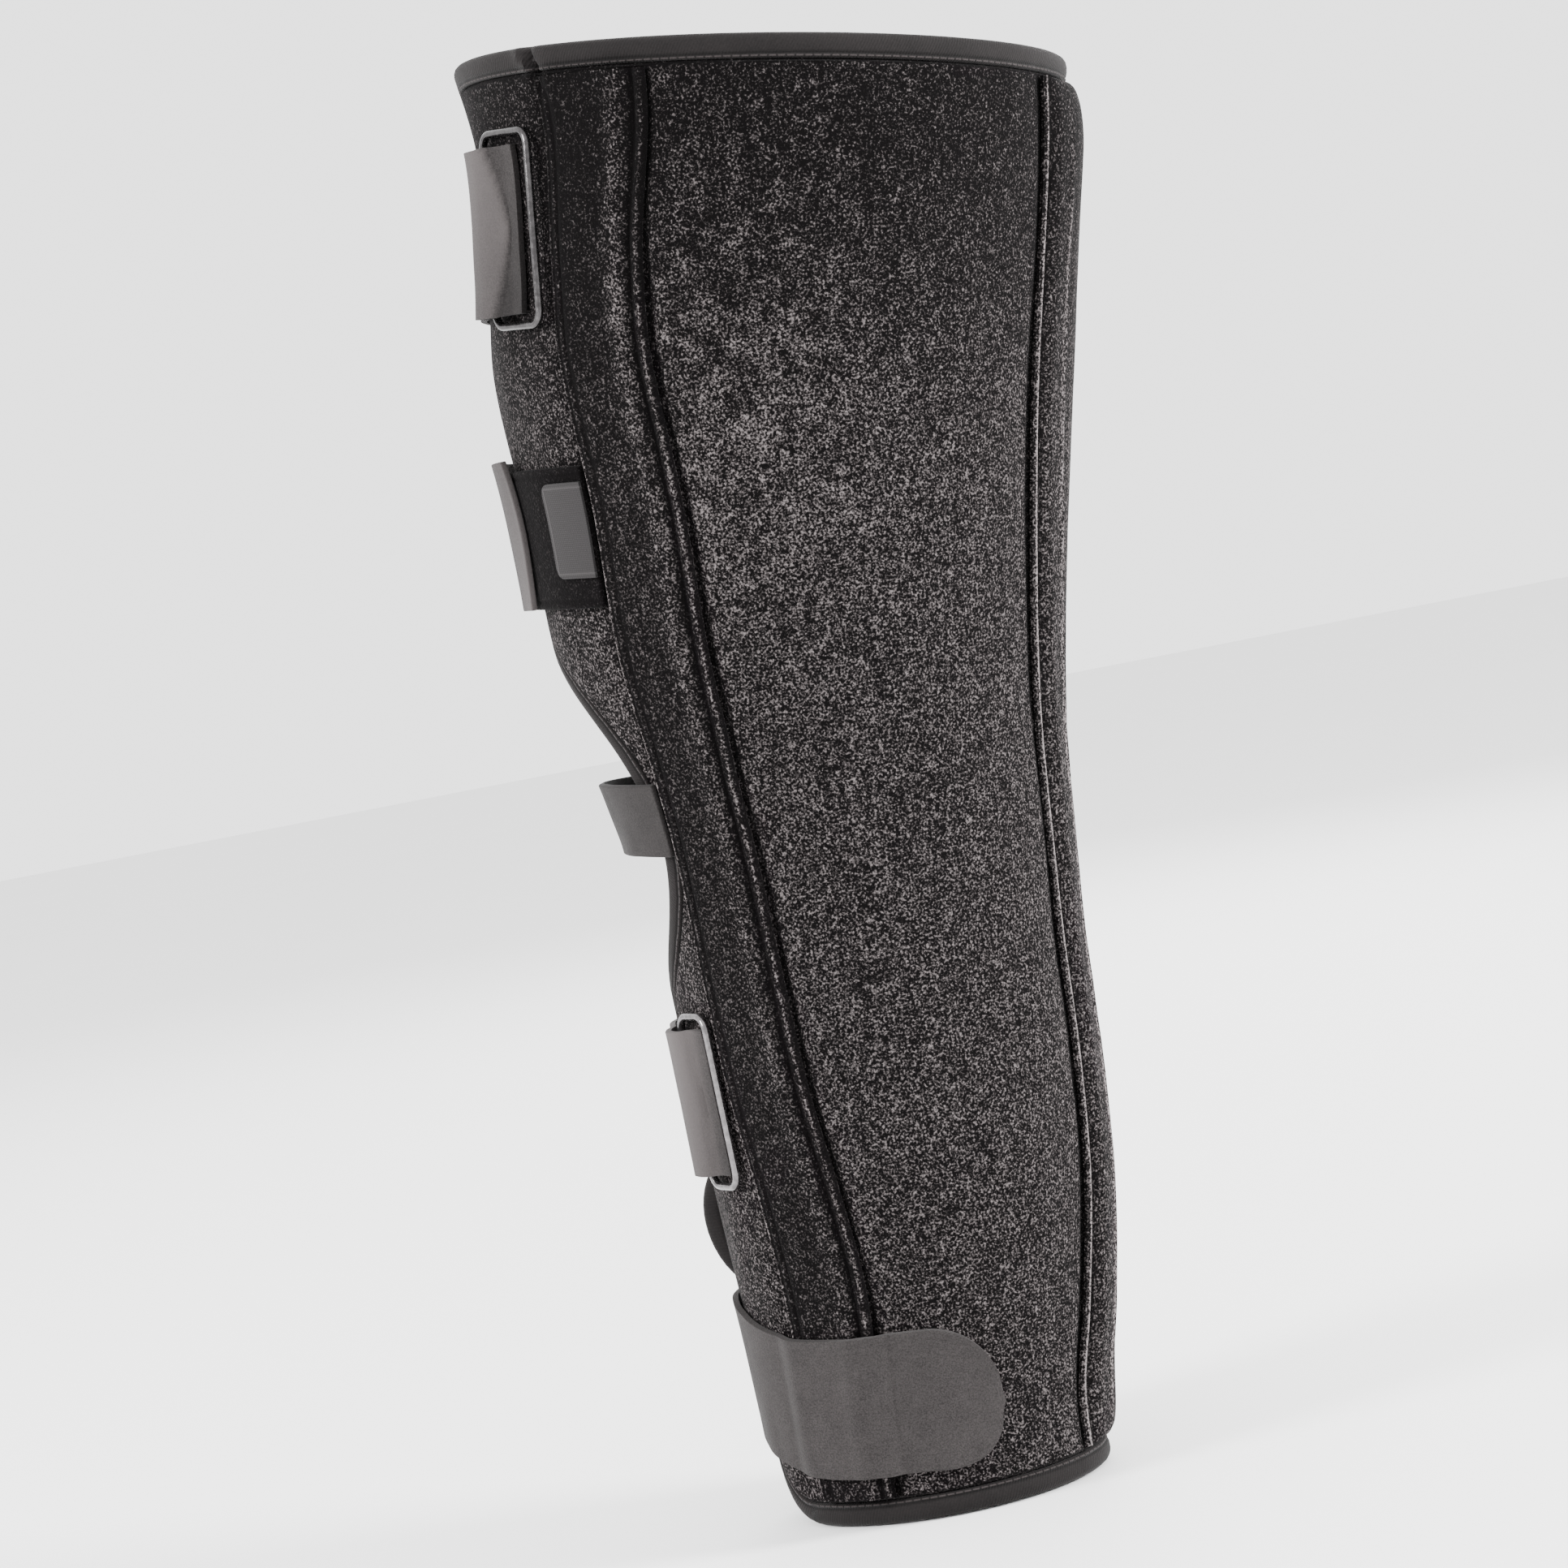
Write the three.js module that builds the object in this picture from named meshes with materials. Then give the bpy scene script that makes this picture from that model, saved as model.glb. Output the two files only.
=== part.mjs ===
// A long foam wrap that keeps a leg straight: a C-shaped padded wall, open down the front, with
// bound edges, stay bands at both sides and the back, and five straps across the opening.
// Millimetres, +Z up, -X the front of the leg, -Y the near side, where the rings are.
import * as THREE from 'three';

// The wrap as a whole. Its upper rim is lower at the back than at the front.
const FRONT_HEIGHT = 526;
const BACK_HEIGHT = 489;
const THIGH_DEPTH = 212;
const THIGH_WIDTH = 189;

// The padded wall, pinched at its edge, and the tape folded over that edge
const WALL = 8;
const PINCHED_WALL = 3.8;
const TAPE = 1.5;
const TAPE_DEPTH = 7;
const TAPE_CHAMFER = 1;
const SHOULDER = 1.2;

// The least gap between two pieces, and the little more that cloth keeps over a curved wall
const CLEARANCE = 0.3;
const EASE = 0.4;

// The front opening, in degrees from the midline, and the corners of the two flaps
const NEAR_EDGE = -5;
const FAR_EDGE = -14;
const BOTTOM_CORNER = 33;
const TOP_CORNER = 14;

// The kneecap cut-out in each flap, placed as a share of the height
const CUTOUT_CENTRE = 0.4875;
const CUTOUT_HEIGHT = 116;
const CUTOUT_DEPTH = 40;

// The far flap's edge bows forward between the two lowest straps
const BOW = 11;
const BOW_CENTRE = 0.2005;
const BOW_HEIGHT = 44;
const BOW_REACH = 24;

// The pocket bands that are sewn on over the stays
const BAND_THICKNESS = 2.2;
const STAY_RIDGE = 3.4;
const POSTERIOR_THICKNESS = 6.2;
const POSTERIOR_EDGE = 1.2;
const POSTERIOR_END = 24;

// Straps and what they fasten to
const STRAP_THICKNESS = 2.2;
const THIGH_STRAP_WIDTH = 57;
const LOWER_THIGH_STRAP_WIDTH = 53;
const KNEE_STRAP_WIDTH = 26;
const CALF_STRAP_WIDTH = 52;
const ANKLE_STRAP_WIDTH = 50;
const LANDING_TAB_HEIGHT = 49;
const LANDING_TAB_THICKNESS = 2.5;
const LABEL_HEIGHT = 33;
const LABEL_LENGTH = 20;
const LABEL_THICKNESS = 1.2;
const LABEL_CORNER = 4;

// The two wire rings: the bar, the length across the strap, and the play beside the strap
const RING_BAR = 2.8;
const RING_CORNER = 5;
const RING_PLAY = 3;
const THIGH_RING_LENGTH = 32;
const THIGH_RING_TO_SEAM = 4;
const THIGH_STRAP_TO_BAR = 8;
const CALF_RING_LENGTH = 21;
const CALF_RING_TO_SEAM = 1.2;
const CALF_STRAP_TO_BAR = 0.6;

// How far the panel's own grid stays inside the outer line of its tape
const EDGE_INSET = TAPE_DEPTH + TAPE + CLEARANCE + SHOULDER + EASE;
const FOAM_REACH = EDGE_INSET - TAPE - CLEARANCE;

// Level sections of the wrap's outer side. Front and back are shares of THIGH_DEPTH from the
// middle of the lower rim, width is a share of THIGH_WIDTH, and at is a share of the height.
const SECTIONS = [
  { at: 0.00, front: -0.292, back: 0.250, width: 0.519 },
  { at: 0.06, front: -0.303, back: 0.252, width: 0.534 },
  { at: 0.12, front: -0.307, back: 0.281, width: 0.571 },
  { at: 0.21, front: -0.318, back: 0.316, width: 0.635 },
  { at: 0.30, front: -0.325, back: 0.333, width: 0.661 },
  { at: 0.38, front: -0.328, back: 0.340, width: 0.656 },
  { at: 0.46, front: -0.344, back: 0.356, width: 0.661 },
  { at: 0.53, front: -0.373, back: 0.375, width: 0.688 },
  { at: 0.60, front: -0.407, back: 0.406, width: 0.730 },
  { at: 0.70, front: -0.412, back: 0.455, width: 0.815 },
  { at: 0.79, front: -0.421, back: 0.502, width: 0.878 },
  { at: 0.86, front: -0.398, back: 0.540, width: 0.931 },
  { at: 0.94, front: -0.377, back: 0.585, width: 0.974 },
  { at: 1.00, front: -0.389, back: 0.611, width: 1.000 },
];

// Where the seams run, in degrees from the front midline, by share of the height
const SEAMS = [
  { at: 0.00, left: 40.0, right: 70.0, posterior: 146.0 },
  { at: 0.15, left: 42.5, right: 72.0, posterior: 152.5 },
  { at: 0.22, left: 41.0, right: 69.5, posterior: 155.0 },
  { at: 0.30, left: 37.5, right: 66.0, posterior: 157.0 },
  { at: 0.38, left: 36.5, right: 65.0, posterior: 158.5 },
  { at: 0.50, left: 40.5, right: 66.0, posterior: 157.5 },
  { at: 0.60, left: 43.5, right: 68.0, posterior: 154.5 },
  { at: 0.75, left: 44.0, right: 66.5, posterior: 152.5 },
  { at: 0.88, left: 42.0, right: 64.0, posterior: 153.0 },
  { at: 1.00, left: 43.5, right: 68.0, posterior: 152.0 },
];

// A stay band from its front seam to its rear seam: how high it stands, as a share of
// BAND_THICKNESS, with ridge as a share of the height that the stay adds
const BAND_PROFILE = [
  { across: 0.00, height: 0.36, ridge: 0 },
  { across: 0.06, height: 0.90, ridge: 0 },
  { across: 0.35, height: 1.00, ridge: 0 },
  { across: 0.60, height: 1.00, ridge: 0.15 },
  { across: 0.74, height: 1.00, ridge: 1 },
  { across: 0.88, height: 1.00, ridge: 0.1 },
  { across: 1.00, height: 0.36, ridge: 0 },
];

// The ankle strap's middle line, which dips at the front and runs level over the stay band
const ANKLE_LINE = [
  { angle: -45, at: 0.107 },
  { angle: 0, at: 0.1065 },
  { angle: 24, at: 0.094 },
  { angle: 40, at: 0.0875 },
  { angle: 57, at: 0.085 },
  { angle: 90, at: 0.083 },
  { angle: 112, at: 0.074 },
];

// The lower thigh strap stands off the wrap at the front, in millimetres above the layer under it
const LOWER_THIGH_SLACK = [
  { angle: -45, lift: 0 },
  { angle: -28, lift: 0.6 },
  { angle: -10, lift: 3.4 },
  { angle: 0, lift: 4.3 },
  { angle: 8, lift: 3.9 },
  { angle: 14, lift: 3.2 },
];
const LOWER_THIGH_END = 14;
const LANDING_TAB_START = 5;

// Where each strap crosses the front, as a share of the height
const THIGH_STRAP_AT = 0.8855;
const LOWER_THIGH_STRAP_AT = 0.6875;
const KNEE_STRAP_AT = 0.4895;
const CALF_STRAP_AT = 0.296;
const LANDING_TAB_AT = 0.683;
const LABEL_AT = 0.688;
const ANKLE_STRAP_END = 112.5;
const STRAP_STEP = 6;

const plush = new THREE.MeshStandardMaterial({ color: 0x1d1c1d, roughness: 0.95, metalness: 0 });
const tape = new THREE.MeshStandardMaterial({ color: 0x3a3838, roughness: 0.85, metalness: 0 });
const webbing = new THREE.MeshStandardMaterial({ color: 0x5c5957, roughness: 0.8, metalness: 0 });
const wire = new THREE.MeshStandardMaterial({ color: 0x6d6b6b, roughness: 0.35, metalness: 0.9 });
const labelCloth = new THREE.MeshStandardMaterial({ color: 0x6e6c6c, roughness: 0.8, metalness: 0 });

const radians = THREE.MathUtils.degToRad;
const smooth = THREE.MathUtils.smoothstep;

// A smooth value between the rows of a table: cubic, with each row's slope from its neighbours
function tableValue(rows, key, column, at) {
  const last = rows.length - 1;
  const x = THREE.MathUtils.clamp(at, rows[0][key], rows[last][key]);
  let k = 0;
  while (k < last - 1 && x > rows[k + 1][key]) k += 1;
  const slope = (i) => {
    const a = rows[Math.max(i - 1, 0)];
    const b = rows[Math.min(i + 1, last)];
    return (b[column] - a[column]) / (b[key] - a[key]);
  };
  const span = rows[k + 1][key] - rows[k][key];
  const t = (x - rows[k][key]) / span;
  const t2 = t * t;
  const t3 = t2 * t;
  return (2 * t3 - 3 * t2 + 1) * rows[k][column] + (t3 - 2 * t2 + t) * span * slope(k)
    + (3 * t2 - 2 * t3) * rows[k + 1][column] + (t3 - t2) * span * slope(k + 1);
}

// Height of the upper rim at an angle
function rimHeight(angle) {
  return FRONT_HEIGHT + (BACK_HEIGHT - FRONT_HEIGHT) * (1 - Math.cos(radians(angle))) / 2;
}

// How far the far flap's edge bows out at an angle and a share of the height
function bowAt(angle, share) {
  const fromMidline = ((angle % 360) + 360) % 360 - 360;
  const fade = smooth(fromMidline, FAR_EDGE - BOW_REACH, FAR_EDGE - BOW_REACH / 4);
  const u = (share - BOW_CENTRE) * FRONT_HEIGHT / (BOW_HEIGHT / 2);
  if (fromMidline > FAR_EDGE / 2 || Math.abs(u) >= 1) return 0;
  return BOW * fade * (1 - u * u) ** 0.7;
}

// A point of the wrap: an angle from the front midline towards the near side, a height, and a
// level distance outside the outer face of the foam
function onWrap(angle, up, outside) {
  const share = up / rimHeight(angle);
  const front = tableValue(SECTIONS, 'at', 'front', share) * THIGH_DEPTH;
  const back = tableValue(SECTIONS, 'at', 'back', share) * THIGH_DEPTH;
  const half = tableValue(SECTIONS, 'at', 'width', share) * THIGH_WIDTH / 2;
  const deep = (back - front) / 2;
  const c = Math.cos(radians(angle));
  const s = Math.sin(radians(angle));
  const normal = new THREE.Vector2(-c / deep, -s / half).normalize();
  const out = outside + bowAt(angle, share);
  return new THREE.Vector3((front + back) / 2 - deep * c + normal.x * out, -half * s + normal.y * out, up);
}

// Millimetres round the wrap for one degree
function arcPerDegree(angle, up) {
  return onWrap(angle + 1, up, 0).distanceTo(onWrap(angle - 1, up, 0)) / 2;
}

// A closed solid from its points and triangles, turned so that its faces point out
function solid(name, points, triangles, material) {
  let volume = 0;
  for (const [a, b, c] of triangles) {
    volume += points[a].dot(new THREE.Vector3().crossVectors(points[b], points[c]));
  }
  const index = volume > 0 ? triangles.flat() : triangles.flatMap(([a, b, c]) => [a, c, b]);
  const geometry = new THREE.BufferGeometry().setFromPoints(points);
  geometry.setIndex(index);
  geometry.computeVertexNormals();
  const mesh = new THREE.Mesh(geometry, material);
  mesh.name = name;
  return mesh;
}

// The border of a grid of rows and columns, as pairs, counter-clockwise seen from outside
function gridBorder(rows, columns) {
  const border = [];
  for (let j = 0; j < columns; j += 1) border.push([0, j]);
  for (let i = 1; i < rows; i += 1) border.push([i, columns - 1]);
  for (let j = columns - 2; j >= 0; j -= 1) border.push([rows - 1, j]);
  for (let i = rows - 2; i > 0; i -= 1) border.push([i, 0]);
  return border;
}

// A padded sheet: a grid on each face, rings of points round both, and a wall along the last ring.
// place(i, j, side) and ring(r, k, side) give the points, side being 0 inside and 1 outside.
function sheet(name, rows, columns, place, rings, ring, material) {
  const border = gridBorder(rows, columns);
  const points = [];
  const triangles = [];
  const loops = [];
  for (const side of [0, 1]) {
    const first = points.length;
    for (let i = 0; i < rows; i += 1) {
      for (let j = 0; j < columns; j += 1) points.push(place(i, j, side));
    }
    let loop = border.map(([i, j]) => first + i * columns + j);
    const quad = (a, b, c, d) => {
      if (side === 1) triangles.push([a, b, c], [a, c, d]);
      else triangles.push([a, c, b], [a, d, c]);
    };
    for (let i = 0; i + 1 < rows; i += 1) {
      for (let j = 0; j + 1 < columns; j += 1) {
        const corner = first + i * columns + j;
        quad(corner, corner + 1, corner + columns + 1, corner + columns);
      }
    }
    for (let r = 0; r < rings; r += 1) {
      const outer = loop.map((_, k) => points.push(ring(r, k, side)) - 1);
      outer.forEach((_, k) => {
        const next = (k + 1) % outer.length;
        quad(outer[k], outer[next], loop[next], loop[k]);
      });
      loop = outer;
    }
    loops.push(loop);
  }
  const [inner, outer] = loops;
  outer.forEach((_, k) => {
    const next = (k + 1) % outer.length;
    triangles.push([inner[k], inner[next], outer[k]], [inner[next], outer[next], outer[k]]);
  });
  return solid(name, points, triangles, material);
}

// A cloth layer on the wrap: spot(i, j) gives its angle, height, and lower and upper distance
function layer(name, rows, columns, spot, material) {
  const place = (i, j, side) => {
    const { angle, up, low, high } = spot(i, j);
    return onWrap(angle, up, side === 0 ? low : high);
  };
  return sheet(name, rows, columns, place, 0, null, material);
}

// The panel's own grid: how far each front edge is set back from the opening's plain line
function setback(up, height) {
  const fromMiddle = Math.abs(up - CUTOUT_CENTRE * height) / (CUTOUT_HEIGHT / 2 + EDGE_INSET);
  const rest = 1 - fromMiddle ** 2;
  const round = 0.1;
  const cutout = CUTOUT_DEPTH * ((rest + Math.hypot(rest, round)) / 2) ** 0.85;
  return EDGE_INSET + cutout + cornerCut(up - EDGE_INSET, BOTTOM_CORNER - EDGE_INSET)
    + cornerCut(height - EDGE_INSET - up, TOP_CORNER - EDGE_INSET);
}

// How much a round corner takes off an edge, at a distance from where the corner ends
function cornerCut(distance, radius) {
  const left = THREE.MathUtils.clamp(radius - distance, 0, radius);
  return radius - Math.sqrt(radius * radius - left * left);
}

// The height of the grid's row at a share between its lower and upper lines
function rowHeight(angle, share) {
  return EDGE_INSET + share * (rimHeight(angle) - 2 * EDGE_INSET);
}

const FRONT_REFERENCE = 15;

function edgeAngles(share) {
  const up = rowHeight(0, share);
  const turn = setback(up, FRONT_HEIGHT) / arcPerDegree(FRONT_REFERENCE, up);
  return [NEAR_EDGE + turn, 360 + FAR_EDGE - turn];
}

// Shares for the grid's rows, closer together at the corners, the bow and the cut-out
function panelRows() {
  const tall = FRONT_HEIGHT - 2 * EDGE_INSET;
  const fromHeight = (up) => (up - EDGE_INSET) / tall;
  const arc = (steps, middle, half) => Array.from({ length: steps + 1 }, (_, k) => (
    fromHeight(middle * FRONT_HEIGHT - half * Math.cos(Math.PI * k / steps))));
  const cornerSteps = 4;
  const corner = Array.from({ length: cornerSteps + 1 }, (_, k) => (
    (BOTTOM_CORNER - EDGE_INSET) * (1 - Math.cos(Math.PI / 2 * k / cornerSteps)) / tall));
  const bow = arc(5, BOW_CENTRE, BOW_HEIGHT / 2);
  const cutout = arc(9, CUTOUT_CENTRE, CUTOUT_HEIGHT / 2 + 1.4 * EDGE_INSET);
  const between = (from, to, steps) => Array.from({ length: steps - 1 }, (_, k) => (
    from + (to - from) * (k + 1) / steps));
  const topCorner = 1 - (TOP_CORNER - EDGE_INSET) / tall;
  return [
    ...corner, ...between(corner[cornerSteps], bow[0], 2), ...bow,
    ...between(bow[bow.length - 1], cutout[0], 3), ...cutout,
    ...between(cutout[cutout.length - 1], topCorner, 8), topCorner, 1,
  ];
}

const ROWS = panelRows();
const COLUMNS = 24;

function gridSpot(i, j) {
  const [near, far] = edgeAngles(ROWS[i]);
  const angle = near + (far - near) * j / (COLUMNS - 1);
  return { angle, up: rowHeight(angle, ROWS[i]) };
}

const BORDER = gridBorder(ROWS.length, COLUMNS);

// Each place on the grid's border, with its outward direction along the surface, in millimetres
const STATIONS = BORDER.map(([i, j], k) => {
  const here = gridSpot(i, j);
  const before = gridSpot(...BORDER[(k + BORDER.length - 1) % BORDER.length]);
  const after = gridSpot(...BORDER[(k + 1) % BORDER.length]);
  const arc = arcPerDegree(here.angle, here.up);
  const step = (a, b) => new THREE.Vector2((b.angle - a.angle) * arc, b.up - a.up).normalize();
  const along = step(before, here).add(step(here, after)).normalize();
  return { ...here, arc, out: new THREE.Vector2(along.y, -along.x) };
});

// A station moved outwards along the surface
function beyond(station, distance) {
  return {
    angle: station.angle + station.out.x * distance / station.arc,
    up: station.up + station.out.y * distance,
  };
}

function wrapPanel() {
  const middle = -WALL / 2;
  const face = (side, thickness) => middle + (side === 0 ? -thickness / 2 : thickness / 2);
  const place = (i, j, side) => {
    const { angle, up } = gridSpot(i, j);
    return onWrap(angle, up, face(side, WALL));
  };
  const reach = [SHOULDER, FOAM_REACH];
  const ring = (r, k, side) => {
    const { angle, up } = beyond(STATIONS[k], reach[r]);
    return onWrap(angle, up, face(side, PINCHED_WALL));
  };
  return sheet('wrap_panel', ROWS.length, COLUMNS, place, reach.length, ring, plush);
}

// The folded tape's section: distance out from the grid's border, and across the wall
function tapeSection() {
  const inner = PINCHED_WALL / 2 + CLEARANCE;
  const outer = inner + TAPE;
  const start = SHOULDER + CLEARANCE + EASE;
  const bend = EDGE_INSET - TAPE;
  return [
    [start, -outer], [EDGE_INSET - TAPE_CHAMFER, -outer], [EDGE_INSET, TAPE_CHAMFER - outer],
    [EDGE_INSET, outer - TAPE_CHAMFER], [EDGE_INSET - TAPE_CHAMFER, outer], [start, outer],
    [start, inner], [bend, inner], [bend, -inner], [start, -inner],
  ].map(([out, across]) => new THREE.Vector2(out, across));
}

// Tape along the border from one station to another, with half a clearance left at each end
function binding(name, from, to) {
  const section = tapeSection();
  const count = STATIONS.length;
  const station = (k) => STATIONS[((k % count) + count) % count];
  const blend = (k, next, gap) => {
    const a = station(k);
    const b = station(next);
    const length = onWrap(a.angle, a.up, 0).distanceTo(onWrap(b.angle, b.up, 0));
    const t = gap / length;
    return section.map((p) => tapePoint(a, p).lerp(tapePoint(b, p), t));
  };
  const slices = [blend(from, from + 1, CLEARANCE / 2)];
  for (let k = from + 1; k < to; k += 1) slices.push(section.map((p) => tapePoint(station(k), p)));
  slices.push(blend(to, to - 1, CLEARANCE / 2));
  return sweep(name, slices, section, tape);
}

function tapePoint(station, p) {
  const { angle, up } = beyond(station, p.x);
  return onWrap(angle, Math.max(up, 0), p.y - WALL / 2);
}

// A solid from slices with the same number of points, closed by caps of the section's shape, or
// closed on itself when no section is given
function sweep(name, slices, section, material) {
  const size = slices[0].length;
  const triangles = [];
  const last = section ? slices.length - 1 : slices.length;
  for (let k = 0; k < last; k += 1) {
    const a = k * size;
    const b = ((k + 1) % slices.length) * size;
    for (let i = 0; i < size; i += 1) {
      const next = (i + 1) % size;
      const outwards = section && section[next].x > section[i].x;
      if (outwards) triangles.push([a + i, b + i, a + next], [a + next, b + i, b + next]);
      else triangles.push([a + i, b + i, b + next], [a + i, b + next, a + next]);
    }
  }
  if (section) {
    const end = (slices.length - 1) * size;
    const turn = THREE.ShapeUtils.isClockWise(section) ? 1 : -1;
    for (const [a, b, c] of THREE.ShapeUtils.triangulateShape(section, [])) {
      const flip = THREE.ShapeUtils.isClockWise([section[a], section[b], section[c]]) ? 1 : -1;
      const [p, q] = flip === turn ? [b, c] : [c, b];
      triangles.push([a, p, q], [end + a, end + q, end + p]);
    }
  }
  return solid(name, slices.flat(), triangles, material);
}

// Both stay bands, the far one being the near one's mirror about the middle of the opening
function seam(side, share, far) {
  const angle = tableValue(SEAMS, 'at', side, share);
  return far ? 360 + NEAR_EDGE + FAR_EDGE - angle : angle;
}

function bandHeight(profile) {
  return BAND_THICKNESS * profile.height + (STAY_RIDGE - BAND_THICKNESS) * profile.ridge;
}

function stayBand(name, far) {
  const spot = (i, j) => {
    const share = ROWS[i];
    const profile = BAND_PROFILE[far ? BAND_PROFILE.length - 1 - j : j];
    const from = seam('left', share, far);
    const to = seam('right', share, far);
    const angle = from + (to - from) * profile.across;
    return { angle, up: rowHeight(angle, share), low: CLEARANCE, high: CLEARANCE + bandHeight(profile) };
  };
  return layer(name, ROWS.length, BAND_PROFILE.length, spot, plush);
}

// How high the near stay band stands over the foam around an angle
function coverHeight(angle, share) {
  const left = seam('left', share, false);
  const right = seam('right', share, false);
  const heights = [-STRAP_STEP, -STRAP_STEP / 2, 0, STRAP_STEP / 2, STRAP_STEP].map((step) => {
    const across = (angle + step - left) / (right - left);
    if (across < 0 || across > 1) return 0;
    const height = tableValue(BAND_PROFILE, 'across', 'height', across);
    const ridge = tableValue(BAND_PROFILE, 'across', 'ridge', across);
    return CLEARANCE + bandHeight({ height, ridge });
  });
  return Math.max(...heights);
}

function posteriorBand() {
  const columns = 9;
  const spot = (i, j) => {
    const share = ROWS[i];
    const across = 2 * j / (columns - 1) - 1;
    const half = 180 - seam('posterior', share, false);
    const angle = 180 + half * across;
    const up = rowHeight(angle, share);
    const toEnd = Math.min(up - EDGE_INSET, rimHeight(angle) - EDGE_INSET - up) / POSTERIOR_END;
    const end = Math.sqrt(1 - (1 - THREE.MathUtils.clamp(toEnd, 0, 1)) ** 2);
    const crown = (1 - across * across) ** 0.6 * end;
    const high = CLEARANCE + POSTERIOR_EDGE + (POSTERIOR_THICKNESS - POSTERIOR_EDGE) * crown;
    return { angle, up, low: CLEARANCE, high };
  };
  return layer('posterior_band', ROWS.length, columns, spot, plush);
}

// Angles from one to another in about even steps
function steps(from, to, step) {
  const count = Math.ceil((to - from) / step);
  return Array.from({ length: count + 1 }, (_, k) => from + (to - from) * k / count);
}

// Near a stay band a cloth piece's end follows the seam, which isn't quite upright
function alongSeam(angle, up, at, nearToo) {
  if (angle > 0 && !nearToo) return angle;
  const turn = seam('left', up / rimHeight(angle), false) - seam('left', at, false);
  return angle + Math.sign(angle) * turn * smooth(Math.abs(angle), FRONT_REFERENCE, 2 * FRONT_REFERENCE);
}

// A strap from its seam at the far stay band to its near end. middle(angle) is its middle line's
// height, lift(angle, share) its distance off the foam, and taper its share of width at an angle.
function strap(name, width, angles, middle, lift, { taper = () => 1, nearSeam = false } = {}) {
  const rows = 4;
  const at = middle(angles[0]) / rimHeight(angles[0]);
  const spot = (i, j) => {
    const up = middle(angles[j]) + (i / (rows - 1) - 0.5) * width * taper(angles[j]);
    const angle = alongSeam(angles[j], up, at, nearSeam);
    const low = CLEARANCE + EASE + lift(angle, up / rimHeight(angle));
    return { angle, up, low, high: low + STRAP_THICKNESS };
  };
  return layer(name, rows, angles.length, spot, webbing);
}

// Where cloth starts, just clear of the far stay band, and where it ends at the near one
function farStart(at) {
  const angle = seam('left', at, true) - 360;
  return angle + CLEARANCE * 2 / arcPerDegree(angle, at * FRONT_HEIGHT);
}

function nearEnd(at) {
  const angle = seam('left', at, false);
  return angle - CLEARANCE * 2 / arcPerDegree(angle, at * FRONT_HEIGHT);
}

function levelLine(at) {
  return (angle) => at * rimHeight(angle);
}

// A ring lies flat over the wrap just in front of the near stay band
function ringPlace(at, strapWidth, length, toSeam) {
  const tall = strapWidth + 2 * RING_PLAY + 2 * RING_BAR;
  const share = tall / 2 / FRONT_HEIGHT;
  const seamAngle = Math.min(...[at - share, at, at + share].map((k) => seam('left', k, false)));
  const arc = arcPerDegree(seamAngle - FRONT_REFERENCE / 2, at * FRONT_HEIGHT);
  const angle = seamAngle - (toSeam + length / 2) / arc;
  const up = at * rimHeight(angle);
  const upward = onWrap(angle, up + tall / 2, 0).sub(onWrap(angle, up - tall / 2, 0)).normalize();
  const aside = onWrap(angle + 1, up, 0).sub(onWrap(angle - 1, up, 0)).normalize();
  const outward = new THREE.Vector3().crossVectors(aside, upward).normalize();
  aside.crossVectors(upward, outward);
  const halfTurn = (length - RING_BAR) / 2 / arc;
  const centre = onWrap(angle, up, 0);
  const place = { angle, at, tall, length, arc, halfTurn, centre, upward, aside, outward };
  const seat = Math.max(...ringPath(place).map(({ middle }) => -aboveWrap(middle, place)));
  place.centre.addScaledVector(outward, seat + RING_BAR / 2 + CLEARANCE);
  return place;
}

// How far a point near a ring is outside the wrap, measured square to the ring
function aboveWrap(point, place) {
  let angle = place.angle;
  for (let k = 0; k < 6; k += 1) {
    const foam = onWrap(angle, point.z, 0);
    angle += point.clone().sub(foam).dot(place.aside) / place.arc;
  }
  return point.clone().sub(onWrap(angle, point.z, 0)).dot(place.outward);
}

// The middle line of a ring's bar, with the direction out of each corner
function ringPath(place) {
  const cornerSteps = 3;
  const halfLong = (place.length - RING_BAR) / 2 - RING_CORNER;
  const halfTall = (place.tall - RING_BAR) / 2 - RING_CORNER;
  const path = [];
  for (let corner = 0; corner < 4; corner += 1) {
    const signX = corner === 0 || corner === 3 ? 1 : -1;
    const signY = corner < 2 ? 1 : -1;
    for (let k = 0; k <= cornerSteps; k += 1) {
      const turn = Math.PI / 2 * (corner + k / cornerSteps);
      const out = place.aside.clone().multiplyScalar(Math.cos(turn))
        .addScaledVector(place.upward, Math.sin(turn));
      const middle = place.centre.clone().addScaledVector(place.aside, signX * halfLong)
        .addScaledVector(place.upward, signY * halfTall).addScaledVector(out, RING_CORNER);
      path.push({ middle, out });
    }
    if (signX === signY) {
      const out = place.upward.clone().multiplyScalar(signY);
      const middle = place.centre.clone().addScaledVector(out, halfTall + RING_CORNER);
      path.push({ middle, out });
    } else {
      const out = place.aside.clone().multiplyScalar(signX);
      const middle = place.centre.clone().addScaledVector(out, halfLong + RING_CORNER);
      path.push({ middle, out });
    }
  }
  return path;
}

// How far off the foam the ring's front bar reaches
function barReach(place) {
  const bar = place.centre.clone().addScaledVector(place.aside, -(place.length - RING_BAR) / 2);
  return aboveWrap(bar, place) + RING_BAR / 2;
}

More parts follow.
